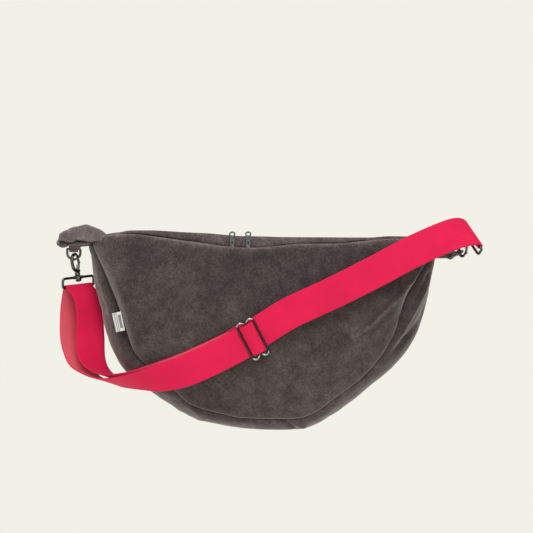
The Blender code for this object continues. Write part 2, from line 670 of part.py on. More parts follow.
PIVOTS = {
    "strap_main_run": AX_L, "strap_return_run": AX_L, "strap_wrap_left": AX_L,
    "strap_wrap_right": AX_L, "strap_bail_left": AX_L, "strap_bail_right": AX_L,
    "d_ring_left": AX_L, "d_ring_right": AX_R,
    "adjuster_frame": ADJ, "adjuster_middle_bar": ADJ, "strap_hump": ADJ, "strap_sewn_end": ADJ,
    "hook_body_left": LH.translation / MM, "hook_body_right": RH.translation / MM,
    "hook_gate_left": hook_pin(LH), "hook_gate_right": hook_pin(RH),
}
for name, pivot in PIVOTS.items():
    ob = bpy.data.objects[name]
    old = ob.matrix_world.copy()
    ob.matrix_world = Matrix.Translation(Vector(pivot) * MM + SHIFT)
    ob.data.transform(ob.matrix_world.inverted() @ old)
for ob in COL.objects:
    if ob.type != "EMPTY":
        keep = ob.matrix_world.copy()
        ob.parent = CENTRE
        ob.matrix_world = keep
print("shift (mm)", [round(v * 1000, 3) for v in SHIFT])
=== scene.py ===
"""Looks of the crescent sling bag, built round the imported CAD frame."""
import math

import bmesh
import bpy
import numpy as np
from mathutils import Matrix, Vector, noise


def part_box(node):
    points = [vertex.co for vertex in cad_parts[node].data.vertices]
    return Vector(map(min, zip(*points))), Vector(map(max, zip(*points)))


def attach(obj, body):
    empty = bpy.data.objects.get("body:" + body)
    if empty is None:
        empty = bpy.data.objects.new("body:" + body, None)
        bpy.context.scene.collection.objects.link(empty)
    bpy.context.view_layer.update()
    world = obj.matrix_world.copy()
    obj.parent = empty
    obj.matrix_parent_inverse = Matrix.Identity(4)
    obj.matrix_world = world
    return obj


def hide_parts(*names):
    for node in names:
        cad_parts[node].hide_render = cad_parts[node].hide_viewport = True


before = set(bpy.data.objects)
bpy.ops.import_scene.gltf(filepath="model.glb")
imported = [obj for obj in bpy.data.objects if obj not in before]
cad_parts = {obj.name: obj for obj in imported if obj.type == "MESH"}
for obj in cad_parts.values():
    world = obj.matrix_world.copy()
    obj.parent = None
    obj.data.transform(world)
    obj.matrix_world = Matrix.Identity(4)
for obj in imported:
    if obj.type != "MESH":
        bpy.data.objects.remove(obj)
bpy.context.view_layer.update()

MM = 0.001
rng = np.random.default_rng(7)

# the frame stands on its own origin: the design's coordinates plus this shift (mm)
lo_, hi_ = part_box("zip_tape_front")
SHIFT = np.array([((lo_.x + hi_.x) / 2) / MM + 12.0, 6.953, 0.0])

FABRIC_T = 2.0
WEB_W, WEB_T = 40.0, 1.6
WIRE_R = 1.7
ZIP_Z = 224.0
ZIP_X0, ZIP_X1 = -176.0, 152.0
SLIDER_L_X, SLIDER_R_X = -43.5, -23.5
RUN_Y = -67.0
AX_L = Vector((-241.5, 1.5, 225.0))
AX_R = Vector((231.0, 4.0, 217.0))

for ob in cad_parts.values():
    pass

# ================================================================ camera, light
scene = bpy.context.scene
scene.view_settings.view_transform = "Standard"
scene.view_settings.look = "None"
scene.view_settings.exposure = 0.0
scene.view_settings.gamma = 1.0

ELEV = math.radians(9.0)
DIST = 6.0
SCALE = 1.25 * MM            # metres per unit of the 533-wide frame at the object
target = Vector(((-0.65 + SHIFT[0]) * MM, SHIFT[1] * MM, 203.1 * MM))
cam_data = bpy.data.cameras.new("camera")
cam_data.sensor_width = 36.0
cam_data.lens = 36.0 * DIST / (533 * SCALE)
cam_data.clip_end = 100.0
cam = bpy.data.objects.new("camera", cam_data)
scene.collection.objects.link(cam)
cam.location = target + Vector((0, -math.cos(ELEV), math.sin(ELEV))) * DIST
cam.rotation_euler = (math.pi / 2 - ELEV, 0, 0)
scene.camera = cam


def new_material(name):
    mat = bpy.data.materials.new(name)
    mat.use_nodes = True
    nt = mat.node_tree
    nt.nodes.clear()
    out = nt.nodes.new("ShaderNodeOutputMaterial")
    bsdf = nt.nodes.new("ShaderNodeBsdfPrincipled")
    nt.links.new(bsdf.outputs[0], out.inputs[0])
    return mat, nt, bsdf


def lin(r, g, b):
    return tuple(((c / 255) / 12.92 if c <= 10 else (((c / 255) + 0.055) / 1.055) ** 2.4)
                 for c in (r, g, b))


world = bpy.data.worlds.new("studio")
scene.world = world
world.use_nodes = True
wn = world.node_tree
wn.nodes.clear()
w_out = wn.nodes.new("ShaderNodeOutputWorld")
w_bg = wn.nodes.new("ShaderNodeBackground")
w_tc = wn.nodes.new("ShaderNodeTexCoord")
w_sep = wn.nodes.new("ShaderNodeSeparateXYZ")
w_ramp = wn.nodes.new("ShaderNodeValToRGB")
w_map = wn.nodes.new("ShaderNodeMapRange")
wn.links.new(w_tc.outputs["Generated"], w_sep.inputs[0])
wn.links.new(w_sep.outputs["Z"], w_map.inputs["Value"])
w_map.inputs["From Min"].default_value = -1.0
w_map.inputs["From Max"].default_value = 1.0
wn.links.new(w_map.outputs["Result"], w_ramp.inputs[0])
e = w_ramp.color_ramp.elements
e[0].position, e[0].color = 0.0, (0.75, 0.74, 0.70, 1)
e[1].position, e[1].color = 1.0, (1.0, 1.0, 0.98, 1)
for pos, v in ((0.47, 0.45), (0.55, 0.28), (0.66, 0.55), (0.80, 0.95)):
    el = e.new(pos)
    el.color = (v, v, v * 0.985, 1)
wn.links.new(w_ramp.outputs[0], w_bg.inputs["Color"])
w_bg.inputs["Strength"].default_value = 0.54
wn.links.new(w_bg.outputs[0], w_out.inputs[0])


def sun(name, direction, energy, angle, colour=(1, 1, 1)):
    d = bpy.data.lights.new(name, "SUN")
    d.energy = energy
    d.angle = math.radians(angle)
    d.color = colour
    o = bpy.data.objects.new(name, d)
    scene.collection.objects.link(o)
    o.rotation_euler = Vector(direction).to_track_quat("-Z", "Y").to_euler()
    return o


sun("key", (0.06, 0.72, -1.0), 1.45, 40)
sun("fill_right", (-0.24, 0.95, -0.12), 1.15, 50)

bpy.ops.mesh.primitive_plane_add(size=60.0, location=(0, 20, 0))
floor = bpy.context.active_object
floor.name = "floor"
mat, nt, bsdf = new_material("floor_lightbox")
bsdf.inputs["Base Color"].default_value = (0.0, 0.0, 0.0, 1)
bsdf.inputs["Roughness"].default_value = 1.0
bsdf.inputs["Specular IOR Level"].default_value = 0.0
bsdf.inputs["Emission Color"].default_value = (*lin(242, 241, 231), 1)
bsdf.inputs["Emission Strength"].default_value = 1.0
floor.data.materials.append(mat)


# ============================================================ node helpers
class N:
    """Short-hand for building a node tree."""

    def __init__(self, nt):
        self.nt = nt

    def new(self, kind, **props):
        n = self.nt.nodes.new(kind)
        for k, v in props.items():
            setattr(n, k, v)
        return n

    def link(self, a, b):
        self.nt.links.new(a, b)

    def coord(self, kind="Object"):
        return self.new("ShaderNodeTexCoord").outputs[kind]

    def scaled(self, vec, s):
        m = self.new("ShaderNodeMapping")
        m.inputs["Scale"].default_value = s if hasattr(s, "__len__") else (s, s, s)
        self.link(vec, m.inputs["Vector"])
        return m.outputs[0]

    def noise(self, vec, scale, detail=4.0, rough=0.55, distortion=0.0):
        n = self.new("ShaderNodeTexNoise")
        n.inputs["Scale"].default_value = scale
        n.inputs["Detail"].default_value = detail
        n.inputs["Roughness"].default_value = rough
        n.inputs["Distortion"].default_value = distortion
        self.link(vec, n.inputs["Vector"])
        return n.outputs["Fac"]

    def math(self, op, a, b=None, c=None, clamp=False):
        n = self.new("ShaderNodeMath", operation=op, use_clamp=clamp)
        for i, v in enumerate((a, b, c)):
            if v is None:
                continue
            if isinstance(v, (int, float)):
                n.inputs[i].default_value = v
            else:
                self.link(v, n.inputs[i])
        return n.outputs[0]

    def ramp(self, fac, stops):
        n = self.new("ShaderNodeValToRGB")
        el = n.color_ramp.elements
        el[0].position, el[0].color = stops[0][0], (*stops[0][1], 1)
        el[1].position, el[1].color = stops[-1][0], (*stops[-1][1], 1)
        for p, c in stops[1:-1]:
            x = el.new(p)
            x.color = (*c, 1)
        self.link(fac, n.inputs[0])
        return n.outputs[0]

    def mix(self, fac, a, b, blend="MIX"):
        n = self.new("ShaderNodeMix", data_type="RGBA", blend_type=blend)
        for sock, v in ((n.inputs[0], fac), (n.inputs[6], a), (n.inputs[7], b)):
            if isinstance(v, (int, float)):
                sock.default_value = v
            elif isinstance(v, tuple):
                sock.default_value = (*v[:3], 1)
            else:
                self.link(v, sock)
        return n.outputs[2]

    def bump(self, height, strength, distance, normal=None):
        n = self.new("ShaderNodeBump")
        n.inputs["Strength"].default_value = strength
        n.inputs["Distance"].default_value = distance
        self.link(height, n.inputs["Height"])
        if normal is not None:
            self.link(normal, n.inputs["Normal"])
        return n.outputs[0]


def suede(name, base=(73, 64, 63), light=1.0):
    """Brushed velour: matt, mottled where the pile lies differently, with a soft sheen; a per-point attribute
    multiplies in painted highlights and painted shade.
    """
    mat, nt, bsdf = new_material(name)
    g = N(nt)
    co = g.coord()
    r, gg, b = [v * light for v in lin(*base)]
    dark = (r * 0.56, gg * 0.545, b * 0.55)
    mid = (r, gg, b)
    pale = (r * 1.46, gg * 1.50, b * 1.48)
    cloud = g.noise(g.scaled(co, (1.0, 1.0, 0.7)), 17.0, 3.0, 0.6, 0.5)
    patch = g.noise(co, 75.0, 5.0, 0.66, 0.3)
    grain = g.noise(co, 420.0, 4.0, 0.85)
    fac = g.math("ADD", g.math("MULTIPLY", cloud, 0.46), g.math("MULTIPLY", patch, 0.54))
    col = g.ramp(fac, [(0.36, dark), (0.50, mid), (0.64, pale)])
    speck = g.ramp(grain, [(0.34, (0.44, 0.44, 0.44)), (0.66, (1.58, 1.58, 1.58))])
    col = g.mix(1.0, col, speck, "MULTIPLY")
    # painted light: a per-point attribute scales the colour, a painted highlight on the lips, rolls and fold crests and
    # painted shade in seams, creases and the mouth
    light_paint = g.new("ShaderNodeAttribute", attribute_name="light_paint").outputs["Fac"]
    col = g.mix(1.0, col, g.ramp(g.math("MULTIPLY", light_paint, 0.25), [(0.0, (0, 0, 0)), (1.0, (4, 4, 4))]), "MULTIPLY")
    g.link(col, bsdf.inputs["Base Color"])
    rough = g.ramp(patch, [(0.35, (0.80,) * 3), (0.65, (0.96,) * 3)])
    g.link(rough, bsdf.inputs["Roughness"])
    bsdf.inputs["Specular IOR Level"].default_value = 0.12
    bsdf.inputs["Sheen Weight"].default_value = 0.55
    bsdf.inputs["Sheen Roughness"].default_value = 0.45
    bsdf.inputs["Sheen Tint"].default_value = (0.95, 0.88, 0.87, 1)
    n1 = g.bump(g.noise(co, 1400.0, 2.0, 0.6), 0.35, 0.0004)
    n2 = g.bump(g.noise(co, 160.0, 3.0, 0.6), 0.25, 0.0008, n1)
    g.link(n2, bsdf.inputs["Normal"])
    return mat


def webbing_material(name, colour=(219, 23, 74)):
    """Tightly woven polyester webbing: fine lengthwise ribs and weft picks."""
    mat, nt, bsdf = new_material(name)
    g = N(nt)
    uv = g.new("ShaderNodeUVMap").outputs[0]
    co = g.coord()
    sep = g.new("ShaderNodeSeparateXYZ")
    g.link(uv, sep.inputs[0])
    # UV is in metres: x along the webbing, y across it
    rib = g.math("SINE", g.math("MULTIPLY", sep.outputs[1], 2 * math.pi / 0.0011))
    pick = g.math("SINE", g.math("MULTIPLY", sep.outputs[0], 2 * math.pi / 0.0009))
    weave = g.math("MULTIPLY", rib, pick)
    height = g.math("ADD", g.math("MULTIPLY", rib, 0.6), g.math("MULTIPLY", weave, 0.4))
    cloud = g.noise(co, 22.0, 3.0, 0.6)
    fleck = g.noise(co, 1200.0, 2.0, 0.6)
    c = lin(*colour)
    col = g.ramp(cloud, [(0.35, tuple(v * 0.94 for v in c)), (0.65, tuple(min(1, v * 1.05) for v in c))])
    shade = g.ramp(g.math("MULTIPLY_ADD", height, 0.5, 0.5),
                   [(0.0, (0.95, 0.92, 0.93)), (1.0, (1.02, 1.03, 1.03))])
    col = g.mix(1.0, col, shade, "MULTIPLY")
    spec = g.ramp(fleck, [(0.3, (0.95,) * 3), (0.7, (1.04,) * 3)])
    col = g.mix(1.0, col, spec, "MULTIPLY")
    g.link(col, bsdf.inputs["Base Color"])
    bsdf.inputs["Roughness"].default_value = 0.72
    bsdf.inputs["Specular IOR Level"].default_value = 0.18
    bsdf.inputs["Sheen Weight"].default_value = 0.12
    bsdf.inputs["Sheen Tint"].default_value = (1.0, 0.45, 0.62, 1)
    g.link(g.bump(height, 0.16, 0.0002), bsdf.inputs["Normal"])
    return mat


def metal(name, base=(0.050, 0.050, 0.048), rough=0.17, tint=(0.15, 0.145, 0.135), painted=False):
    mat, nt, bsdf = new_material(name)
    g = N(nt)
    co = g.coord()
    wear = g.noise(co, 260.0, 4.0, 0.7)
    col = g.ramp(wear, [(0.35, base), (0.72, tint)])
    if painted:      # painted reflection: the plating is painted bright where the attribute is high and painted dark where it is low
        light_paint = g.new("ShaderNodeAttribute", attribute_name="light_paint").outputs["Fac"]
        col = g.mix(1.0, col, g.ramp(light_paint, [(0.0, (0.16,) * 3), (0.35, (0.22,) * 3), (1.0, (4.2,) * 3)]), "MULTIPLY")
    g.link(col, bsdf.inputs["Base Color"])
    bsdf.inputs["Metallic"].default_value = 1.0
    bsdf.inputs["Coat Weight"].default_value = 0.7
    bsdf.inputs["Coat Roughness"].default_value = 0.09
    r = g.ramp(g.noise(co, 700.0, 3.0, 0.6), [(0.3, (rough * 0.75,) * 3), (0.7, (rough * 1.35,) * 3)])
    g.link(r, bsdf.inputs["Roughness"])
    g.link(g.bump(g.noise(co, 420.0, 3.0, 0.6), 0.12, 0.0004), bsdf.inputs["Normal"])
    return mat


def plain_cloth(name, colour, scale=1600.0, rough=0.85):
    mat, nt, bsdf = new_material(name)
    g = N(nt)
    co = g.coord()
    c = lin(*colour)
    w = g.new("ShaderNodeTexWave", wave_type="BANDS", bands_direction="DIAGONAL")
    w.inputs["Scale"].default_value = scale * 0.25
    w.inputs["Distortion"].default_value = 1.5
    g.link(co, w.inputs["Vector"])
    n = g.noise(co, scale, 3.0, 0.6)
    f = g.math("ADD", g.math("MULTIPLY", w.outputs["Fac"], 0.4), g.math("MULTIPLY", n, 0.6))
    g.link(g.ramp(f, [(0.25, tuple(v * 0.72 for v in c)), (0.75, tuple(min(1, v * 1.12) for v in c))]),
           bsdf.inputs["Base Color"])
    bsdf.inputs["Roughness"].default_value = rough
    bsdf.inputs["Specular IOR Level"].default_value = 0.2
    g.link(g.bump(f, 0.3, 0.0003), bsdf.inputs["Normal"])
    return mat


M_SUEDE = suede("suede_velour")
# a darker copy of the velour: painted shade for the cloth at the mouth ends and round the ring bars
M_SUEDE_SHADED = suede("suede_velour_shade", base=(66, 58, 58))
# a near-black copy of the velour for the panels' cut rims: painted shade along the seams
M_SEAM_SHADE = suede("suede_velour_seam_shade", base=(30, 26, 26))
M_WEB = webbing_material("webbing_neon")
M_METAL = metal("gunmetal_plating")
M_ADJ = metal("black_nickel", painted=True)
M_ZIP = metal("zip_plating", base=(0.100, 0.118, 0.104), rough=0.34, tint=(0.118, 0.138, 0.122))
M_TAPE = plain_cloth("zip_tape_cloth", (46, 43, 44))
M_COIL = plain_cloth("zip_coil_nylon", (50, 47, 47), rough=0.4)
M_LINING = plain_cloth("lining_cotton", (60, 54, 56))
def ribbon_material(name):
    """White woven ribbon with a border line and plain woven bars; it carries no words."""
    mat, nt, bsdf = new_material(name)
    g = N(nt)
    uv = g.new("ShaderNodeUVMap").outputs[0]
    sep = g.new("ShaderNodeSeparateXYZ")
    g.link(uv, sep.inputs[0])
    along, outw = sep.outputs[0], sep.outputs[1]
    co = g.coord()
    weave = g.noise(co, 2400.0, 3.0, 0.7)
    base = g.ramp(weave, [(0.3, lin(188, 188, 182)), (0.7, lin(232, 232, 226))])
    # grey woven bars on the half next to the seam, and one thin line near the fold
    zone = g.math("MULTIPLY", g.math("COMPARE", outw, 0.0026, 0.0017), g.math("LESS_THAN", g.math("ABSOLUTE", along), 0.0085))
    line = g.math("MAXIMUM", g.math("COMPARE", outw, 0.0062, 0.0005), g.math("COMPARE", outw, 0.0085, 0.0005))
    mask = g.math("MAXIMUM", g.math("MULTIPLY", zone, 0.80), g.math("MULTIPLY", line, 0.75))
    g.link(g.mix(mask, base, lin(92, 90, 88)), bsdf.inputs["Base Color"])
    bsdf.inputs["Roughness"].default_value = 0.6
    bsdf.inputs["Specular IOR Level"].default_value = 0.25
    g.link(g.bump(weave, 0.3, 0.0003), bsdf.inputs["Normal"])
    return mat


M_LABEL = ribbon_material("label_ribbon")
M_THREAD = plain_cloth("thread_dark", (58, 52, 53), scale=3000.0)


# ============================================================ mesh helpers
def interp(table, x):
    """Smooth monotone cubic through a table of (x, value), for arrays of x."""
    xs = np.array([p[0] for p in table], float)
    ys = np.array([p[1] for p in table], float)
    d = np.diff(ys) / np.diff(xs)
    m = np.empty_like(xs)
    m[0], m[-1] = d[0], d[-1]
    for i in range(1, len(xs) - 1):
        m[i] = 0.0 if d[i - 1] * d[i] <= 0 else 2 * d[i - 1] * d[i] / (d[i - 1] + d[i])
    x = np.clip(np.asarray(x, float), xs[0], xs[-1])
    i = np.clip(np.searchsorted(xs, x, side="right") - 1, 0, len(xs) - 2)
    h = xs[i + 1] - xs[i]
    t = (x - xs[i]) / h
    return ((2 * t ** 3 - 3 * t ** 2 + 1) * ys[i] + (t ** 3 - 2 * t ** 2 + t) * h * m[i]
            + (-2 * t ** 3 + 3 * t ** 2) * ys[i + 1] + (t ** 3 - t ** 2) * h * m[i + 1])


def catmull(points, u):
    """Catmull-Rom through points (n x k) at parameters u in 0..1 (array)."""
    p = np.array(points, float)
    p = np.vstack([2 * p[0] - p[1], p, 2 * p[-1] - p[-2]])
    n = len(p) - 3
    s = np.clip(np.asarray(u, float), 0, 1) * n
    i = np.minimum(s.astype(int), n - 1)
    t = (s - i)[..., None]
    p0, p1, p2, p3 = p[i], p[i + 1], p[i + 2], p[i + 3]
    return 0.5 * (2 * p1 + (p2 - p0) * t + (2 * p0 - 5 * p1 + 4 * p2 - p3) * t * t
                  + (3 * p1 - p0 - 3 * p2 + p3) * t ** 3)


def mesh_from_grid(name, P, mat, wrap_u=False, wrap_v=False, uv=None, flip=False, caps=False):
    """P: (nu, nv, 3) points in design mm. Returns an object in the frame, in metres."""
    nu, nv = P.shape[:2]
    co = ((P + SHIFT) * MM).reshape(-1, 3)
    iu = np.arange(nu if wrap_u else nu - 1)
    iv = np.arange(nv if wrap_v else nv - 1)
    A, B = np.meshgrid(iu, iv, indexing="ij")
    A2, B2 = (A + 1) % nu, (B + 1) % nv
    q = np.stack([A * nv + B, A2 * nv + B, A2 * nv + B2, A * nv + B2], -1).reshape(-1, 4)
    if flip:
        q = q[:, ::-1]
    faces = q.tolist()
    if caps:      # close the two open ends in u of a tube wrapped in v
        first = list(range(nv))
        last = [(nu - 1) * nv + k for k in range(nv)]
        faces += [first[::-1], last] if not flip else [first, last[::-1]]
    me = bpy.data.meshes.new(name)
    me.from_pydata(co.tolist(), [], faces)
    if uv is not None:
        layer = me.uv_layers.new(name="UVMap")
        idx = np.empty(len(me.loops), np.int32)
        me.loops.foreach_get("vertex_index", idx)
        layer.data.foreach_set("uv", uv.reshape(-1, 2)[idx].astype(np.float32).ravel())
    me.materials.append(mat)
    me.shade_smooth()
    me.validate()
    ob = bpy.data.objects.new(name, me)
    scene.collection.objects.link(ob)
    return ob


def set_light_paint(ob, value):
    """Store per-point painted light and shade as an attribute that the materials multiply into their colour."""
    me = ob.data
    att = me.attributes.get("light_paint") or me.attributes.new("light_paint", "FLOAT", "POINT")
    vals = np.ones(len(me.vertices), np.float32)
    v = np.asarray(value, np.float32).ravel()
    vals[: len(v)] = v if len(v) > 1 else float(v[0])
    if len(v) == 1:
        vals[:] = float(v[0])
    att.data.foreach_set("value", vals)


def smooth_noise(P, scale, seed=0.0, depth=3):
    """Fractal noise at points P (…x3, mm), feature size about `scale` mm, -1..1."""
    flat = P.reshape(-1, 3) / scale + seed
    out = np.array([noise.fractal(Vector(p), 0.9, 2.0, depth) for p in flat])
    return out.reshape(P.shape[:-1])


def grid_normals(P, wrap_v=False):
    du = np.gradient(P, axis=0)
    dv = np.gradient(P, axis=1)
    if wrap_v:
        dv = (np.roll(P, -1, axis=1) - np.roll(P, 1, axis=1)) / 2
    n = np.cross(du, dv)
    return n / np.maximum(np.linalg.norm(n, axis=-1, keepdims=True), 1e-9)


def solid(ob, thickness, offset=-1.0, rim=None):
    m = ob.modifiers.new("thickness", "SOLIDIFY")
    m.thickness = thickness * MM
    if rim is not None:
        ob.data.materials.append(rim)
        m.material_offset_rim = 1
    m.offset = offset
    return ob


def wire(name, pts, radius, mat, cyclic=False, dense=6, radii=None, res=6):
    """Round bar through smooth points (design mm)."""
    pts = np.array(pts, float)
    if cyclic:
        ext = np.vstack([pts[-1], pts, pts[0], pts[1]])
        n = len(pts)
        out = []
        for i in range(n):
            p0, p1, p2, p3 = ext[i], ext[i + 1], ext[i + 2], ext[i + 3]
            for k in range(dense):
                t = k / dense
                out.append(0.5 * (2 * p1 + (p2 - p0) * t + (2 * p0 - 5 * p1 + 4 * p2 - p3) * t * t
                                  + (3 * p1 - p0 - 3 * p2 + p3) * t ** 3))
        line = np.array(out)
        rad = np.ones(len(line))
    else:
        u = np.linspace(0, 1, (len(pts) - 1) * dense + 1)
        line = catmull(pts, u)
        rad = np.ones(len(line)) if radii is None else catmull(np.array(radii)[:, None], u)[:, 0]
    cu = bpy.data.curves.new(name, "CURVE")
    cu.dimensions = "3D"
    cu.bevel_depth = radius * MM
    cu.bevel_resolution = res
    cu.use_fill_caps = not cyclic
    sp = cu.splines.new("POLY")
    sp.points.add(len(line) - 1)
    for q, p, r in zip(sp.points, line, rad):
        q.co = (*((p + SHIFT) * MM), 1.0)
        q.radius = r
    sp.use_cyclic_u = cyclic
    sp.use_smooth = True
    cu.materials.append(mat)
    ob = bpy.data.objects.new(name, cu)
    scene.collection.objects.link(ob)
    return ob


# ================================================================ the bag's shape
LIP = [(-214, 236), (-200, 243.5), (-169, 246), (-134, 242.5), (-99, 238), (-72, 234.5),
       (-46, 231), (-20, 230), (6, 231.3), (41, 234.5), (86, 234.7), (115, 237),
       (150, 240), (180, 239.5), (206, 235)]
SEAM = [(-214, 234), (-206, 208), (-197, 187), (-188, 166), (-181, 147), (-175, 128),
        (-165, 101), (-146, 81), (-117, 54), (-97, 36), (-76, 28), (-56, 23), (-31, 18),
        (0, 17), (25, 16.5), (40, 17.5), (60, 25), (86, 44), (115, 66), (139, 92),
        (156, 119), (165, 144), (174, 172), (188, 194), (200, 213), (206, 232)]
CREST = [(-221, 229), (-217, 204), (-213, 178), (-208, 153), (-202.5, 129), (-196, 106),
         (-182, 79), (-158, 56), (-130, 36.5), (-107, 21.5), (-87, 11), (-62, 5.2), (-32, 0),
         (0, -4.5), (30, -4.5), (48, -0.5), (73, 11), (103, 32), (131, 55), (160, 80),
         (181, 108), (193.5, 138), (200, 165), (204.5, 190), (208.5, 209), (212, 229)]
HALF = [11, 18, 26, 33, 38, 41, 43, 44, 44, 44, 44, 44, 44, 44, 44, 44, 44, 44, 44, 43,
        41, 37, 31, 23, 15, 11]
SEAM_X = SEAM
HALF_X = [(p[0], h) for p, h in zip(SEAM, HALF)]
MOUTH = [(-214, 7), (-195, 11), (-170, 16), (-120, 22), (-20, 25), (80, 23), (130, 19),
         (170, 13), (190, 9), (206, 7)]

LIP_BACK = [(-214, 236), (-200, 242.5), (-184, 244.2), (-171, 246), (-146, 245.6), (-121, 244), (-96, 242.3),
            (-71, 241.0), (-59, 239.8), (-34, 237.6), (-9, 237.2), (16, 236.4), (54, 236.2),
            (91, 236.2), (129, 236.6), (154, 238.8), (180, 239), (206, 235)]
SEAM_LINE = catmull(SEAM, np.linspace(0, 1, 400))


def line_distance(XZ, line):
    """Signed distance of points (…x2) to a polyline and how far along it (0..1) they lie."""
    line = np.asarray(line, float)
    a, b = line[:-1], line[1:]
    d = b - a
    seg = np.hypot(d[:, 0], d[:, 1])
    run = np.concatenate([[0], np.cumsum(seg)])
    flat = XZ.reshape(-1, 2)
    best = np.full(len(flat), 1e9)
    side = np.ones(len(flat))
    where = np.zeros(len(flat))
    for i in range(len(a)):
        w = flat - a[i]
        t = np.clip((w @ d[i]) / max(seg[i] ** 2, 1e-9), 0, 1)
        q = w - t[:, None] * d[i]
        dist = np.hypot(q[:, 0], q[:, 1])
        m = dist < best
        best[m] = dist[m]
        side[m] = np.sign(d[i][0] * w[m, 1] - d[i][1] * w[m, 0] + 1e-9)
        where[m] = (run[i] + t[m] * seg[i]) / run[-1]
    shape = XZ.shape[:-1]
    return best.reshape(shape), side.reshape(shape), where.reshape(shape)


def fold(P, line, height, left, right, ends=0.22):
    """A soft ridge (or valley, if height is below 0) along a line in x, z."""
    d, side, t = line_distance(P[..., [0, 2]], catmull(line, np.linspace(0, 1, 30)))
    w = np.where(side > 0, left, right)
    env = np.clip(t / ends, 0, 1) * np.clip((1 - t) / ends, 0, 1)
    env = env * env * (3 - 2 * env)
    return height * env * np.exp(-(d / w) ** (1.25 if height > 5.5 else 2.0))


# soft folds of the front: (line, height, width above, width below)
FRONT_FOLDS = [
    ([(214, 222), (200, 207), (189, 193.5), (178, 184), (166, 170.5), (144, 152), (131, 139),
      (108, 120)], 7.0, 7.0, 3.4),
    ([(209, 205), (194, 187), (183, 173), (172, 158), (160, 143), (146, 134)], -3.6, 3.6, 6.0),
    ([(150, 172), (128, 156), (104, 140), (78, 122)], 3.6, 10.0, 9.0),
    ([(160, 196), (120, 176), (80, 158)], -1.2, 12.0, 12.0),
    ([(-206, 232), (-190, 205), (-178, 176), (-168, 146), (-158, 118)], 3.4, 7.0, 11.0),
    ([(-196, 238), (-160, 205), (-130, 170), (-112, 140)], 1.3, 14.0, 20.0),
    ([(-150, 236), (-118, 206), (-100, 176)], -0.9, 16.0, 14.0),
    ([(-60, 226), (-20, 206), (20, 214), (60, 228)], -1.4, 12.0, 16.0),
    ([(-10, 140), (10, 90), (44, 50)], 1.0, 22.0, 22.0),
    ([(-120, 92), (-70, 62), (-20, 48)], 0.9, 14.0, 20.0),
    ([(62, 96), (110, 98), (148, 122)], 1.2, 12.0, 16.0),
    ([(-8, 30), (14, 24), (34, 26)], 1.3, 5.0, 4.0),
]
BACK_FOLDS = [
    ([(210, 224), (186, 196), (150, 160), (110, 132)], 3.2, 8.0, 6.0),
    ([(-208, 228), (-180, 190), (-150, 150)], 3.0, 7.0, 9.0),
    ([(-60, 200), (0, 170), (70, 196)], -1.6, 20.0, 18.0),
    ([(-80, 80), (0, 60), (80, 84)], 1.4, 20.0, 18.0),
]


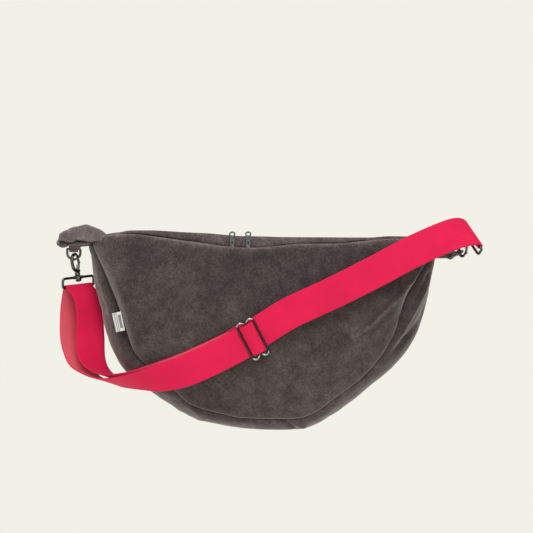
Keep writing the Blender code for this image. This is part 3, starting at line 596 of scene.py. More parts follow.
def panel_skin(side):
    """Outside of a panel from its seam up, over the lip and down to the zip tape."""
    nu, nf = 330, 118
    u = np.linspace(0, 1, nu)
    x = -212.5 + 417.5 * (0.35 * u + 0.65 * (0.5 - 0.5 * np.cos(math.pi * u)))
    seam, lip = interp(SEAM_X, x), interp(LIP if side < 0 else LIP_BACK, x)
    f = np.linspace(0, 1, nf)
    F, X = np.meshgrid(f ** 1.05, x)
    S, L = seam[:, None], lip[:, None]
    Z = (S + 0.6) + (L - S - 0.6 - 1.6) * F
    fz = np.clip((Z - S - 1.6) / np.maximum(L - S - 1.6, 1), 0, 1)
    a, b = interp(HALF_X, x)[:, None], interp(MOUTH, x)[:, None]
    h = L - S
    bulge = 19.5 * np.minimum(1.0, h / 190.0)
    k = np.clip((x + 175) / 70, 0, 1)[:, None]
    swell = 0.75 + 0.21 * k * k * (3 - 2 * k)
    Y = a + (b - a) * fz ** 1.6 + bulge * np.sin(math.pi * fz ** swell)
    P = np.stack([X, Y, Z], -1)
    XZ = P[..., [0, 2]]
    d, _, _ = line_distance(XZ, SEAM_LINE[::4])
    # the seam pulls the cloth in, and the cloth swells just beside it
    tuck = np.exp(-(d / 1.5) ** 1.6)
    Y = Y - 3.0 * tuck + 0.7 * np.exp(-((d - 6) / 4.0) ** 2)
    steep = np.clip((-x - 120) / 60, 0, 1)[:, None]
    Y = Y + 2.4 * steep * np.exp(-((d - 11) / 8.0) ** 2) * np.clip((L - Z) / 12, 0, 1)
    out = np.zeros_like(Y)
    for line, hgt, wa, wb in (FRONT_FOLDS if side < 0 else BACK_FOLDS):
        out += fold(P, line, hgt, wa, wb)
    # gathers where the seam takes up the curve
    _, _, along = line_distance(XZ, SEAM_LINE[::4])
    wave = np.sin(along * 232 + 2.2 * np.sin(along * 31)) * np.sin(along * 17 + side)
    out += 0.34 * wave * np.exp(-((d - 4) / 7.0) ** 2)
    keep = np.clip(fz * 14, 0, 1) * np.clip((1 - fz) * 9, 0.25, 1)
    out += (1.5 * smooth_noise(P, 62.0, 3.1 + side) + 0.45 * smooth_noise(P, 19.0, 9.0 + side)) * keep
    Y = Y + out
    if side < 0:      # the upper left corner stands out over the ear
        k = np.clip((Z - 196) / 40, 0, 1) * np.clip((-X - 186) / 24, 0, 1)
        X = X - 4.2 * k * k * (3 - 2 * k)
        x = X[:, -1]
    P = np.stack([X, side * Y, Z], -1)
    # over the lip and down inside, to the tape
    y_top = Y[:, -1]
    roll = []
    r = 2.3
    for k in range(1, 11):
        t = math.pi * k / 10
        roll.append(np.stack([x, side * (y_top - r + r * math.cos(t)),
                              lip - 1.6 + (r * 0.95) * math.sin(t)], -1))
    y1 = np.minimum(9.6, y_top - 2 * r - 0.3)
    down = []
    sag = 0.9 * np.sin(x / 11.0 + side) * np.sin(x / 37.0)
    for k in range(1, 23):
        t = k / 22
        y = (y_top - 2 * r) + (y1 - y_top + 2 * r) * t ** 0.8 + sag * math.sin(math.pi * t)
        z = (lip - 1.6) + (ZIP_Z + 0.4 - lip + 1.6) * t ** 1.25
        z = np.where((x < ZIP_X0 - 18) | (x > ZIP_X1 + 34), (lip - 1.6) - 9.0 * t, z)
        down.append(np.stack([x, side * y, z], -1))
    # painted highlight along the crest of the first front fold, with painted shade in the valleys either side
    d2, s2, t2 = line_distance(XZ, catmull(FRONT_FOLDS[0][0], np.linspace(0, 1, 40)))
    crest_light_paint = 0.0
    if side < 0:
        above = s2 * d2
        crest_light_paint = (0.95 * np.exp(-(d2 / 1.5) ** 2) - 0.30 * np.exp(-((above - 6.5) / 4.5) ** 2)
                 - 0.22 * np.exp(-((above + 5.0) / 3.5) ** 2)) * np.clip((1 - t2) / 0.3, 0, 1) * np.clip(t2 / 0.2, 0, 1)
    # painted shade along the lower left seam
    shade = 0.50 * np.exp(-(d / 1.7) ** 2) * np.clip((-X + 30) / 60, 0, 1) * np.clip((75 - Z) / 20, 0, 1)
    # painted light over the panel: a painted highlight along the lip and beside the steep left seam, and painted shade
    # over its upper part
    panel_light_paint = crest_light_paint - shade + (0.98 - 0.24 * np.clip((fz - 0.42) / 0.4, 0, 1)) + 1.25 * np.exp(-((L - Z) / 2.8)) + 0.35 * np.exp(-((d - 4) / 4.0) ** 2) * steep
    P = np.concatenate([P, np.stack(roll + down, 1)], 1)
    inner = np.stack(down, 1)
    if side > 0:      # painted shade inside the mouth: light reaches deeper into the mouth where it is wider
        rel = inner[..., 2] - (interp(LIP, x) - 0.27 * interp(MOUTH, x))[:, None]
        k = np.clip((rel - 0.9) / 4.2, 0, 1)
        inside_shade_paint = 0.22 + 1.45 * k * k * (3 - 2 * k)
    # painted shade on the inside of the front panel
    else:
        inside_shade_paint = np.full((nu, 22), 0.75)
    # painted highlight on the rolled lip
    panel_light_paint_all = np.concatenate([panel_light_paint, np.full((nu, 10), 2.1), inside_shade_paint], 1)
    ob = mesh_from_grid("panel_%s_outside" % ("front" if side < 0 else "back"), P, M_SUEDE,
                        flip=side > 0)
    set_light_paint(ob, panel_light_paint_all)
    solid(ob, 1.6, -1.0, M_SEAM_SHADE)
    return ob


GUSSET_FOLDS = [
    ([(-214, 212), (-207, 190), (-199, 170), (-193, 150), (-188, 132)], 2.6, 5.0, 4.0),
    ([(-208, 222), (-201, 199), (-193, 178), (-185.5, 156), (-179, 134)], -4.2, 4.5, 4.0),
    ([(-204, 150), (-190, 120), (-172, 96)], 1.8, 7.0, 7.0),
    ([(204, 196), (194, 174), (185, 157), (171, 133), (160, 117), (147, 99)], 3.8, 3.4, 3.8),
    ([(206, 170), (192, 140), (173, 118), (150, 92)], -3.2, 4.0, 5.0),
    ([(205, 205), (197, 187), (188, 170), (180, 152)], -2.6, 3.0, 3.0),
    ([(128, 84), (104, 60), (84, 42)], 1.4, 5.0, 5.0),
    ([(6, 19), (14, 17), (23, 13.5), (34, 4.5), (38, 1)], -4.6, 2.6, 2.6),
    ([(16, 20), (28, 16), (42, 8), (52, 4)], 2.6, 3.2, 3.2),
    ([(-120, 46), (-96, 24), (-84, 10)], -1.6, 5.0, 5.0),
]


def gusset_skin():
    nu, nv = 520, 70
    u = np.linspace(0, 1, nu)
    fx = catmull(SEAM, u)
    sx = catmull(CREST, u)
    h = catmull([(a, 0) for a in HALF], u)[:, 0]
    t = np.linspace(-1, 1, nv)
    t = np.sign(t) * (1 - (1 - np.abs(t)) ** 1.25)
    T = t[None, :]
    g = (1 - np.abs(T) ** 2.3) ** 0.75
    X = fx[:, :1] + (sx[:, :1] - fx[:, :1]) * g
    Z = fx[:, 1:] + (sx[:, 1:] - fx[:, 1:]) * g
    Y = h[:, None] * T * np.ones_like(X)
    Zs = np.where(Z < 3.0, 3.0 * np.exp((Z - 3.0) / 3.0), Z)       # eases on to the base
    Z = np.maximum(Zs, 0.35 + 0.35 * np.abs(np.sin(X / 17.0)))
    P = np.stack([X, Y, Z], -1)
    n = grid_normals(P)
    c = np.array([0, 0, 120.0])
    sgn = np.sign(np.sum(n * (P - c), axis=-1, keepdims=True))
    n = n * sgn
    front = np.clip(-Y / 8.0, 0, 1)
    out = np.zeros_like(X)
    for line, hgt, wa, wb in GUSSET_FOLDS:
        out += fold(P, line, hgt, wa, wb) * front
    for line, hgt, wa, wb in GUSSET_FOLDS[:7]:
        out += fold(P * np.array([1, 1, 1]) + np.array([3.0, 0, 5.0]), line, hgt * 0.7, wa, wb) * np.clip(Y / 8.0, 0, 1)
    edge = 1 - np.abs(T)
    near = np.exp(-(edge * h[:, None] / 1.5) ** 1.6)
    U = u[:, None]
    wave = np.sin(U * 250 + 2 * np.sin(U * 29)) * np.sin(U * 19 + np.sign(T))
    out += 0.45 * wave * np.exp(-((edge * h[:, None] - 5) / 6.0) ** 2)
    lifted = np.clip((Z - 1.0) / 12.0, 0.0, 1.0)
    calm = 1 - 0.65 * np.clip((X - 60) / 60, 0, 1)
    out += (1.6 * smooth_noise(P, 42.0, 5.0) + 0.5 * smooth_noise(P, 15.0, 8.0)) * lifted * (1 - near) * calm
    out -= 2.4 * near
    # painted light: lighter on the far left of the gusset, darker on the right, and painted shade along both seams,
    # widest on the left
    gusset_light_paint = 1.0 + 0.45 * np.clip((-X - 150) / 50, 0, 1) - 0.30 * np.clip((X - 140) / 50, 0, 1)
    left = np.clip((-X - 140) / 40, 0, 1)
    gusset_light_paint = gusset_light_paint * np.clip((0.78 - 0.40 * left) + edge * h[:, None] / (5.0 + 9.0 * left), 0.3, 1.0)
    P = P + n * out[..., None]
    P[..., 1] *= (1 - 0.045 * near)
    P[..., 2] = np.maximum(P[..., 2], 0.3)
    ob = mesh_from_grid("gusset_outside", P, M_SUEDE)
    set_light_paint(ob, gusset_light_paint)
    solid(ob, 1.6, 0.0)
    return ob


front = panel_skin(-1)
back = panel_skin(1)
gusset = gusset_skin()
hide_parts("front_panel", "facing_front")
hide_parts("back_panel", "facing_back")
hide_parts("gusset")
for ob in (front, back, gusset):
    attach(ob, "bag")


def lining(side):
    x = np.linspace(-170, 164, 120)
    f = np.linspace(0, 1, 50)
    F, X = np.meshgrid(f, x)
    lo, hi = interp(SEAM_X, x)[:, None] + 8, interp(LIP, x)[:, None] - 20
    Z = lo + (hi - lo) * F
    fz = (Z - interp(SEAM_X, x)[:, None]) / (interp(LIP, x) - interp(SEAM_X, x))[:, None]
    a, b = interp(HALF_X, x)[:, None], interp(MOUTH, x)[:, None]
    h = (interp(LIP, x) - interp(SEAM_X, x))[:, None]
    Y = a + (b - a) * fz ** 1.6 + 19.5 * np.minimum(1, h / 190) * np.sin(math.pi * fz ** 0.75) - 5.5
    P = np.stack([X, Y, Z], -1)
    Y = Y + 0.9 * smooth_noise(P, 16.0, 2.0 + side) - 0.9
    ob = mesh_from_grid("lining_%s_cloth" % ("front" if side < 0 else "back"),
                        np.stack([X, side * Y, Z], -1), M_LINING, flip=side > 0)
    solid(ob, 0.7, -1.0)
    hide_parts("lining_%s" % ("front" if side < 0 else "back"))
    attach(ob, "bag")
    return ob


lining(-1)
lining(1)


def mouth_end(name, table):
    """Cloth that closes the mouth between an end of the zip and the corner of the bag."""
    x0, x1 = table[0][0], table[-1][0]
    x = np.linspace(x0, x1, 60)
    v = np.linspace(-1, 1, 26)
    half = np.clip(interp(MOUTH, x) - 4.9, 1.2, 9.6)[:, None] + 1.3
    X = x[:, None] + 0 * v[None, :]
    Z = interp(table, x)[:, None] - 0.9 * (1 - v[None, :] ** 2) + 0.25 * np.sin(X / 3.1)
    ob = mesh_from_grid(name, np.stack([X, half * v[None, :], Z], -1), M_SUEDE_SHADED, flip=True)
    # painted shade on the cloth at the mouth ends
    set_light_paint(ob, 0.8)
    solid(ob, 1.0, -1.0)
    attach(ob, "bag")
    return ob


mouth_end("mouth_end_right", [(152.6, 223.5), (184, 223.5), (189, 225.6), (200, 224.6), (205, 223.0)])
mouth_end("mouth_end_left", [(-211, 229.5), (-200, 231.4), (-196.5, 230.6), (-191, 223.6), (-176.6, 223.5)])


# ============================================================== ears and loops
def soft_tube(name, rings, mat, nu=70, nv=72, power=2.3, detail=None, seed=1.0, cap=True):
    """Soft closed form: rings of (centre xyz, half width, half height)."""
    tab = np.array([(*c, w, h) for c, w, h in rings], float)
    u = np.linspace(0, 1, nu)
    R = catmull(tab, u)
    C, W, H = R[:, :3], np.maximum(R[:, 3], 0.2), np.maximum(R[:, 4], 0.2)
    T = np.gradient(C, axis=0)
    T /= np.linalg.norm(T, axis=1, keepdims=True)
    S = np.array([0, 1, 0]) - T * T[:, 1:2]
    S /= np.linalg.norm(S, axis=1, keepdims=True)
    U = np.cross(T, S)
    ph = np.linspace(0, 2 * math.pi, nv, endpoint=False)
    cs, sn = np.cos(ph), np.sin(ph)
    px = np.sign(cs) * np.abs(cs) ** (2 / power)
    py = np.sign(sn) * np.abs(sn) ** (2 / power)
    P = (C[:, None] + S[:, None] * (W[:, None] * px)[..., None] + U[:, None] * (H[:, None] * py)[..., None])
    n = grid_normals(P, wrap_v=True)
    sgn = np.sign(np.sum(n * (P - C[:, None]), axis=-1, keepdims=True))
    n *= sgn
    out = 0.55 * smooth_noise(P, 17.0, seed, 2) + 0.12 * smooth_noise(P, 6.0, seed + 4, 2)
    if detail is not None:
        out = out + detail(P)
    P = P + n * out[..., None]
    ob = mesh_from_grid(name, P, mat, wrap_v=True, caps=cap)
    bm = bmesh.new()
    bm.from_mesh(ob.data)
    bmesh.ops.recalc_face_normals(bm, faces=bm.faces)
    bm.to_mesh(ob.data)
    bm.free()
    ob.data.shade_smooth()
    return ob


EAR_FOLD = [(-262, 236.4), (-255, 236.4), (-250, 234.6), (-243, 234.4), (-237.5, 237.2),
            (-230, 236.8), (-222, 234.8), (-214, 235.6)]


def ear_detail(P):
    X, Y, Z = P[..., 0], P[..., 1], P[..., 2]
    d = Z - interp(EAR_FOLD, X)
    frontal = np.clip(-Y / 5.0, 0, 1)
    tip = np.clip((X + 257) / 5.0, 0, 1)
    out = -4.6 * np.exp(-(d / 1.3) ** 2) * frontal * tip
    out -= 3.0 / (1 + np.exp(d / 0.9)) * frontal * tip
    out += 2.4 * np.exp(-((d - 2.6) / 2.0) ** 2) * frontal * tip
    out -= 1.7 * np.exp(-((X + 241 - (Z - 244) * 0.9) / 2.6) ** 2) * np.clip((Z - 238) / 5, 0, 1) * frontal
    out += 0.4 * np.exp(-((X + 226) / 7.0) ** 2) * np.clip((Z - 238) / 6, 0, 1)
    out -= 0.3 * np.exp(-((X + 214) / 4.0) ** 2)
    return out


ear_l = soft_tube("ear_left_hood", [
    ((-199.0, 0, 230.6), 8.0, 8.6), ((-206, 0, 235.6), 10.0, 9.6), ((-211, 0, 239.8), 12.0, 10.2),
    ((-216, 0, 241.6), 14.0, 11.4), ((-221, 0, 241.7), 15.5, 12.4), ((-226, 0, 242.0), 16.0, 13.4),
    ((-233, 0, 241.2), 16.0, 13.1), ((-241, 0, 239.9), 15.5, 12.8), ((-246, 0, 238.9), 14.8, 11.5),
    ((-251, 0, 238.2), 13.5, 9.6), ((-256, 0, 235.2), 11.0, 8.9), ((-260.4, 0, 234.4), 7.0, 5.6),
    ((-262.4, 0, 235.0), 1.6, 1.4)], M_SUEDE, detail=ear_detail, seed=2.0)
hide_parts("ear_tab_left")
ear_r = soft_tube("ear_right_tab", [
    ((204.0, -1, 226.0), 7.5, 8.0), ((209.0, 0, 223.4), 10.0, 8.2), ((214.0, 1, 220.8), 11.0, 7.2),
    ((219.0, 2.6, 218.6), 10.4, 5.4), ((223.4, 3.4, 217.2), 9.0, 4.2), ((226.5, 3.8, 216.6), 7.6, 3.4)],
    M_SUEDE, seed=6.0,
    detail=lambda P: -1.3 * np.exp(-((P[..., 2] - 219 + (P[..., 0] - 214) * 0.35) / 1.3) ** 2) * np.clip(-P[..., 1] / 4, 0, 1))
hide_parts("ear_tab_right")
for ob in (ear_l, ear_r):
    set_light_paint(ob, 1.0)
    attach(ob, "bag")
# painted light on the left ear: a painted highlight over the whole ear, a painted shade line along the fold, painted
# shade below it and a lighter band above it
co = np.zeros(len(ear_l.data.vertices) * 3)
ear_l.data.vertices.foreach_get("co", co)
co = co.reshape(-1, 3) / MM - np.array(SHIFT)
dz = co[:, 2] - interp(EAR_FOLD, co[:, 0])
face = np.clip(-co[:, 1] / 5.0, 0, 1) * np.clip((co[:, 0] + 262) / 4.0, 0, 1)
set_light_paint(ear_l, 1.75 + 0.35 * np.exp(-((dz - 3.0) / 2.0) ** 2) * face - 1.45 * np.exp(-(dz / 1.15) ** 2) * face
        - 0.75 / (1 + np.exp(np.clip(dz / 0.8, -30, 30))) * face)


def frame_at(origin, x_dir, z_dir):
    z = Vector(z_dir).normalized()
    x = Vector(x_dir)
    x = (x - z * x.dot(z)).normalized()
    y = z.cross(x)
    m = Matrix.Identity(4)
    for r in range(3):
        m[r][0], m[r][1], m[r][2], m[r][3] = x[r], y[r], z[r], origin[r]
    return m


def placed(m, pts):
    return np.array([tuple(m @ Vector(p)) for p in pts])


AXIS = (AX_R - AX_L).normalized()
LEFT_RING = frame_at(AX_L, AXIS, (0, 0, 1))
RIGHT_RING = frame_at(AX_R, (0, 1, 0), (-0.813, 0.489, -0.324))


def wrap_sleeve(name, place, r_in, r_out, length, body, node):
    """The cloth next to the ring's bar, rolled round it."""
    nu, nv = 30, 72
    x = np.linspace(-length / 2, length / 2, nu)
    ph = np.linspace(0, 2 * math.pi, nv, endpoint=False)
    rows = []
    prof = [(x[0] + 0.2, r_in)] + [(x[0] + 0.05, (r_in + r_out) / 2)]
    prof += [(v, r_out - 0.5 * (abs(v) / (length / 2)) ** 8) for v in x] + [(x[-1] - 0.05, (r_in + r_out) / 2), (x[-1] - 0.2, r_in)]
    for v, r in prof:
        rows.append([tuple(place @ Vector((v, (r + 0.12 * math.sin(5 * p + v)) * math.cos(p), (r + 0.12 * math.sin(5 * p + v)) * math.sin(p)))) for p in ph])
    rows.append(rows[0])
    ob = mesh_from_grid(name, np.array(rows), M_SUEDE_SHADED, wrap_v=True)
    # painted light: a slight painted highlight over the darker shaded velour
    set_light_paint(ob, 1.1)
    bm = bmesh.new(); bm.from_mesh(ob.data)
    bmesh.ops.recalc_face_normals(bm, faces=bm.faces)
    bm.to_mesh(ob.data); bm.free()
    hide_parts(node)
    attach(ob, body)
    return ob


wrap_sleeve("loop_left_roll", LEFT_RING, 1.75, 3.5, 10.5, "ring_left", "tab_loop_left")
wrap_sleeve("loop_right_roll", RIGHT_RING, 1.75, 3.5, 12.0, "ring_right", "tab_loop_right")


def neck(name, place, root_a, root_b, length, r=4.1, taper=1.0, lean=0.0, light_paint=1.2):
    """Cloth strip that comes down from the tab, round the bar and back up."""
    # profile in the plane across the bar, local (y, z): down one side, round, up the other
    prof = [root_a]
    a0 = math.atan2(root_a[1], root_a[0])
    prof += [(r * math.cos(t), r * math.sin(t)) for t in
             np.linspace(math.radians(180 - 24), math.radians(360 + 24), 22)]
    prof += [root_b]
    prof = np.array(prof)
    u = np.linspace(0, 1, 80)
    prof = catmull(prof, u)
    xs = np.linspace(-1, 1, 34)
    P = np.zeros((len(xs), len(prof), 3))
    for i, s in enumerate(xs):
        for j, (y, z) in enumerate(prof):
            far = np.clip((z - 1) / 9, 0, 1)
            w = length / 2 * (1 + taper * far * 0.5)
            P[i, j] = place @ Vector((s * w + lean * far, y, z))
    P = P + 0.35 * smooth_noise(P, 4.0, 3.0)[..., None] * np.array([0, 1, 0.4])
    ob = mesh_from_grid(name, P, M_SUEDE)
    # painted highlight on the loop strips; the left one is painted brighter
    set_light_paint(ob, light_paint)
    solid(ob, 1.1, 1.0)
    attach(ob, "bag")
    return ob


neck("loop_left_strip", LEFT_RING, (-9.0, 12.5), (7.0, 12.5), 11.0, taper=3.4, lean=7.0, light_paint=1.5)
neck("loop_right_strip", RIGHT_RING, (-8.0, 9.0), (-1.0, 9.0), 11.4, taper=-0.35)

# ============================================================== metal fittings


def join(name, obs):
    """One mesh out of several objects; modifiers and curves are applied first."""
    dg = bpy.context.evaluated_depsgraph_get()
    bm = bmesh.new()
    mats = []
    for o in obs:
        ev = o.evaluated_get(dg)
        me = bpy.data.meshes.new_from_object(ev, depsgraph=dg)
        me.transform(o.matrix_world)
        for p in me.polygons:
            p.use_smooth = True
        m = o.data.materials[0] if len(o.data.materials) else None
        if m not in mats:
            mats.append(m)
        k = mats.index(m)
        start = len(bm.faces)
        bm.from_mesh(me)
        bm.faces.ensure_lookup_table()
        for f in bm.faces[start:]:
            f.material_index = k
            f.smooth = True
        bpy.data.meshes.remove(me)
    me = bpy.data.meshes.new(name)
    bm.to_mesh(me)
    bm.free()
    for m in mats:
        me.materials.append(m)
    for o in obs:
        bpy.data.objects.remove(o, do_unlink=True)
    ob = bpy.data.objects.new(name, me)
    scene.collection.objects.link(ob)
    return ob


def turned(name, profile, m, mat, seg=48):
    """Spin an (r, z) profile about local z."""
    prof = np.array(profile, float)
    ph = np.linspace(0, 2 * math.pi, seg, endpoint=False)
    P = np.array([[tuple(m @ Vector((r * math.cos(p), r * math.sin(p), z))) for p in ph] for r, z in prof])
    ob = mesh_from_grid(name, P, mat, wrap_v=True)
    bm = bmesh.new(); bm.from_mesh(ob.data)
    bmesh.ops.remove_doubles(bm, verts=bm.verts, dist=1e-6)
    bmesh.ops.recalc_face_normals(bm, faces=bm.faces)
    bm.to_mesh(ob.data); bm.free()
    m2 = ob.modifiers.new("soft_edges", "BEVEL")
    m2.width = 0.18 * MM
    m2.segments = 2
    m2.limit_method = "ANGLE"
    ob.data.shade_smooth()
    return ob


def metal_piece(ob, body, *nodes, slot="gunmetal"):
    if nodes:
        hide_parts(*nodes)
    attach(ob, body)
    return ob


def d_ring(name, place, half_w, height, body, node):
    pts = [(-half_w + 1.6, 0, 0), (0, 0, 0), (half_w - 1.6, 0, 0), (half_w - 0.4, 0, -0.5), (half_w, 0, -1.9)]
    for k in range(0, 17):
        a = math.pi * k / 16
        pts.append((half_w * math.cos(a), 0, -(height - half_w) - half_w * math.sin(a)))
    pts += [(-half_w, 0, -1.9), (-half_w + 0.4, 0, -0.5)]
    return metal_piece(wire(name, placed(place, pts), 1.6, M_METAL, cyclic=True, dense=4), body, node)


d_ring("ring_left_wire", LEFT_RING, 8.2, 13.2, "ring_left", "d_ring_left")
d_ring("ring_right_wire", RIGHT_RING, 9.0, 15.2, "ring_right", "d_ring_right")

BAIL_H = 12.0
LB_CEN = Vector((-236.5, 7.0, 176.3))
LB_DIR = Vector((0.80, 0.60, 0.0)).normalized()
RB_CEN = Vector((254.8, -28.0, 247.6))
RB_DIR = Vector((0.514, -0.478, -0.712)).normalized()
LH_Z = Vector((-4.7, -5.2, 29.4)).normalized()
RH_Z = Vector((-0.327, 0.658, -0.679)).normalized()


def hook_set(side, cen, bar, up, lean, twist):
    m0 = frame_at(cen, bar, up) @ Matrix.Translation(Vector((0, 0, BAIL_H)))
    w = WEB_W / 2 + 3.2
    half = [(-4.6, 0, 0), (-9, 0, 0), (-w + 4.4, 0, 0), (-w + 1.9, 0, -0.35), (-w + 0.45, 0, -1.5), (-w, 0, -3.4),
            (-w, 0, -6.2), (-w, 0, -BAIL_H + 3.0), (-w + 0.5, 0, -BAIL_H + 1.1), (-w + 2.0, 0, -BAIL_H + 0.1),
            (-w + 4.5, 0, -BAIL_H)]
    pts = half + [(-12, 0, -BAIL_H), (0, 0, -BAIL_H), (12, 0, -BAIL_H)] + [(-x, y, z) for x, y, z in reversed(half)]
    bail = wire("bail_wire", placed(m0, pts), WIRE_R, M_METAL, dense=5)
    knob = [turned("k", [(0, -0.2), (2.2, -0.2), (2.35, 0.5), (2.35, 1.6), (1.7, 2.2), (0, 2.2)],
                   m0 @ Matrix.Translation(Vector((s * 4.4, 0, 0))) @ Matrix.Rotation(s * math.pi / 2, 4, "Y"), M_METAL, 32)
            for s in (-1, 1)]
    metal_piece(join("bail_" + side, [bail] + knob), "strap", "strap_bail_" + side)
    eye = turned("eye_" + side, [(2.9, -2.0), (3.1, -2.25), (4.0, -2.3), (4.8, -1.8), (5.15, -0.8), (5.2, 0), (5.15, 0.8),
                                 (4.8, 1.8), (4.0, 2.3), (3.1, 2.25), (2.9, 2.0), (2.75, 0), (2.9, -2.0)], m0, M_METAL)
    metal_piece(eye, "strap", "swivel_eye_" + side)
    m = frame_at(m0.translation, bar, lean) @ Matrix.Rotation(math.radians(twist), 4, "Z")
    stem = turned("stem_" + side, [(0, -5.6), (1.6, -5.5), (2.9, -5.1), (3.7, -4.5), (3.8, -3.7), (3.3, -3.25), (1.9, -3.1),
                                   (1.8, 0), (1.9, 3.1), (3.1, 3.25), (3.5, 3.8), (3.6, 5.0), (3.1, 5.9), (2.2, 6.5), (0, 6.7)], m, M_METAL)
    metal_piece(stem, "hook_" + side, "swivel_stem_" + side)
    pts = [(0, 0, 6.2), (-0.3, 0, 8.2), (-2.2, 0, 10.0), (-4.7, 0, 12.0), (-6.3, 0, 14.6), (-7.0, 0, 18.5),
           (-7.0, 0, 22.8), (-6.2, 0, 26.4), (-4.4, 0, 29.0), (-1.6, 0, 30.4), (1.8, 0, 30.2), (4.5, 0, 28.7), (6.2, 0, 25.5)]
    rad = [1.35, 1.22, 1.1, 1.05, 1.0, 0.98, 0.98, 1.0, 1.0, 0.98, 0.92, 0.86, 0.78]
    body = wire("hook_" + side, placed(m, pts), 2.2, M_METAL, dense=6, radii=rad)
    lug = turned("lug", [(0, -2.35), (2.0, -2.35), (2.3, -2.0), (2.3, 2.0), (2.0, 2.35), (0, 2.35)],
                 m @ Matrix.Translation(Vector((1.9, 0, 7.8))) @ Matrix.Rotation(math.pi / 2, 4, "X"), M_METAL, 32)
    metal_piece(join("hook_body_" + side + "_cast", [body, lug]), "hook_" + side, "hook_body_" + side)
    gate = [(2.6, 0, 9.3), (4.4, 0, 11.8), (6.1, 0, 15.4), (6.8, 0, 19.4), (6.7, 0, 22.7)]
    g = wire("gate_" + side, placed(m, gate), 1.65, M_METAL, dense=6, radii=[1.15, 1.0, 0.95, 0.95, 0.9])
    thumb = turned("thumb", [(0, -1.7), (0.9, -1.6), (1.35, -1.0), (1.35, 1.0), (0.9, 1.6), (0, 1.7)],
                   m @ Matrix.Translation(Vector((7.7, 0, 17.4))) @ Matrix.Rotation(math.pi / 2, 4, "X"), M_METAL, 24)
    metal_piece(join("gate_" + side + "_lever", [g, thumb]), "gate_" + side, "hook_gate_" + side)
    pin = turned("pin_" + side, [(0, -2.75), (0.9, -2.7), (1.0, -2.4), (0.55, -2.3), (0.55, 2.3), (1.0, 2.4), (0.9, 2.7), (0, 2.75)],
                 m @ Matrix.Translation(Vector((3.0, 0, 8.0))) @ Matrix.Rotation(math.pi / 2, 4, "X"), M_METAL, 24)
    metal_piece(pin, "hook_" + side, "gate_pin_" + side)
    leaf = wire("spring_" + side, placed(m, [(0.42, 0, 11.0), (0.5, 0, 13.0), (1.0, 0, 15.0), (1.4, 0, 16.8)]), 0.35, M_METAL)
    metal_piece(leaf, "hook_" + side, "gate_spring_" + side)


hook_set("left", LB_CEN, LB_DIR, (0, 0, 1), LH_Z, 22)
hook_set("right", RB_CEN, RB_DIR, RH_Z, RH_Z, 8)

# ==================================================================== the strap
SL = Vector((0.8925, 0.0, 0.4510))
CROSS = Vector((0.4510, 0.0, -0.8925))
ADJ = Vector((-17.7, RUN_Y - 2.7, 123.4))
WRAP_R = WIRE_R + WEB_T / 2 + 0.45


def across(p, y=None):
    q = Vector(p) + CROSS * WEB_W
    return (tuple(p), (q.x, p[1] if y is None else y, q.z))


def wrap(cen, bar, start, ahead, radius, steps):
    out = []
    half = Vector(bar).normalized() * WEB_W / 2
    for k in range(steps + 1):
        t = math.radians(8 + 164 * k / steps)
        c = Vector(cen) + (start * math.cos(t) + ahead * math.sin(t)) * radius
        out.append((tuple(c - half), tuple(c + half)))
    return out


L_BACK = Vector((-0.6, 0.8, 0.0))
left_turn = wrap(LB_CEN, LB_DIR, L_BACK, Vector((0, 0, 1)), WRAP_R, 16)
R_AHEAD = Vector((0.423, 0.864, -0.275))
R_AHEAD = (R_AHEAD - RB_DIR * R_AHEAD.dot(RB_DIR)).normalized()
R_TOP = RB_DIR.cross(R_AHEAD).normalized()
right_turn = wrap(RB_CEN, RB_DIR, R_TOP, R_AHEAD, WRAP_R, 16)

LOOP_OUT = [
    left_turn[0],
    ((-256, 0, 167), (-225, 25, 166)), ((-258.3, -1, 152), (-227.3, 24, 150)),
    ((-259.3, -3, 130), (-227.8, 21.5, 127)), ((-258.4, -6, 112), (-226.4, 15.5, 105)),
    ((-254.5, -10, 95.5), (-222, 9, 84.5)), ((-247.2, -18, 80.6), (-214.2, 0.5, 67.6)),
    ((-233, -28, 73.5), (-202, -8, 60.5)), ((-220, -38, 69.5), (-191, -13.5, 57)),
    ((-206, -48, 69.3), (-181, -21, 54)), ((-190, -57, 72.5), (-169.5, -28.5, 53.5)),
    ((-172.5, -63, 77.3), (-153, -38, 53.2)), ((-147.5, RUN_Y + 0.5, 86.4), (-133, -49, 53.5)),
    ((-116.2, RUN_Y, 98.0), (-99, -64.5, 62.2))]
FRONT_RUN = [across(p) for p in (
    (-81.2, RUN_Y, 113.4), (-45.0, RUN_Y, 132.2), (-15.0, RUN_Y, 151.8), (16.2, RUN_Y, 171.8),
    (50.0, RUN_Y, 188.0))] + [
    ((82.5, -66, 203.2), (100.5, -67, 167.6)), ((128.8, -56, 225.5), (146.8, -60, 190.2)),
    ((165, -45, 243.5), (183, -52, 208.5)), ((191.2, -37, 254.8), (210, -47, 220.8)),
    ((213, -30.5, 263.2), (231, -43.5, 229.5)), ((229.5, -27, 268), (246, -43, 235.5)),
    ((240.8, -26.0, 268.4), (260.4, -43.4, 238.6)), right_turn[0]]
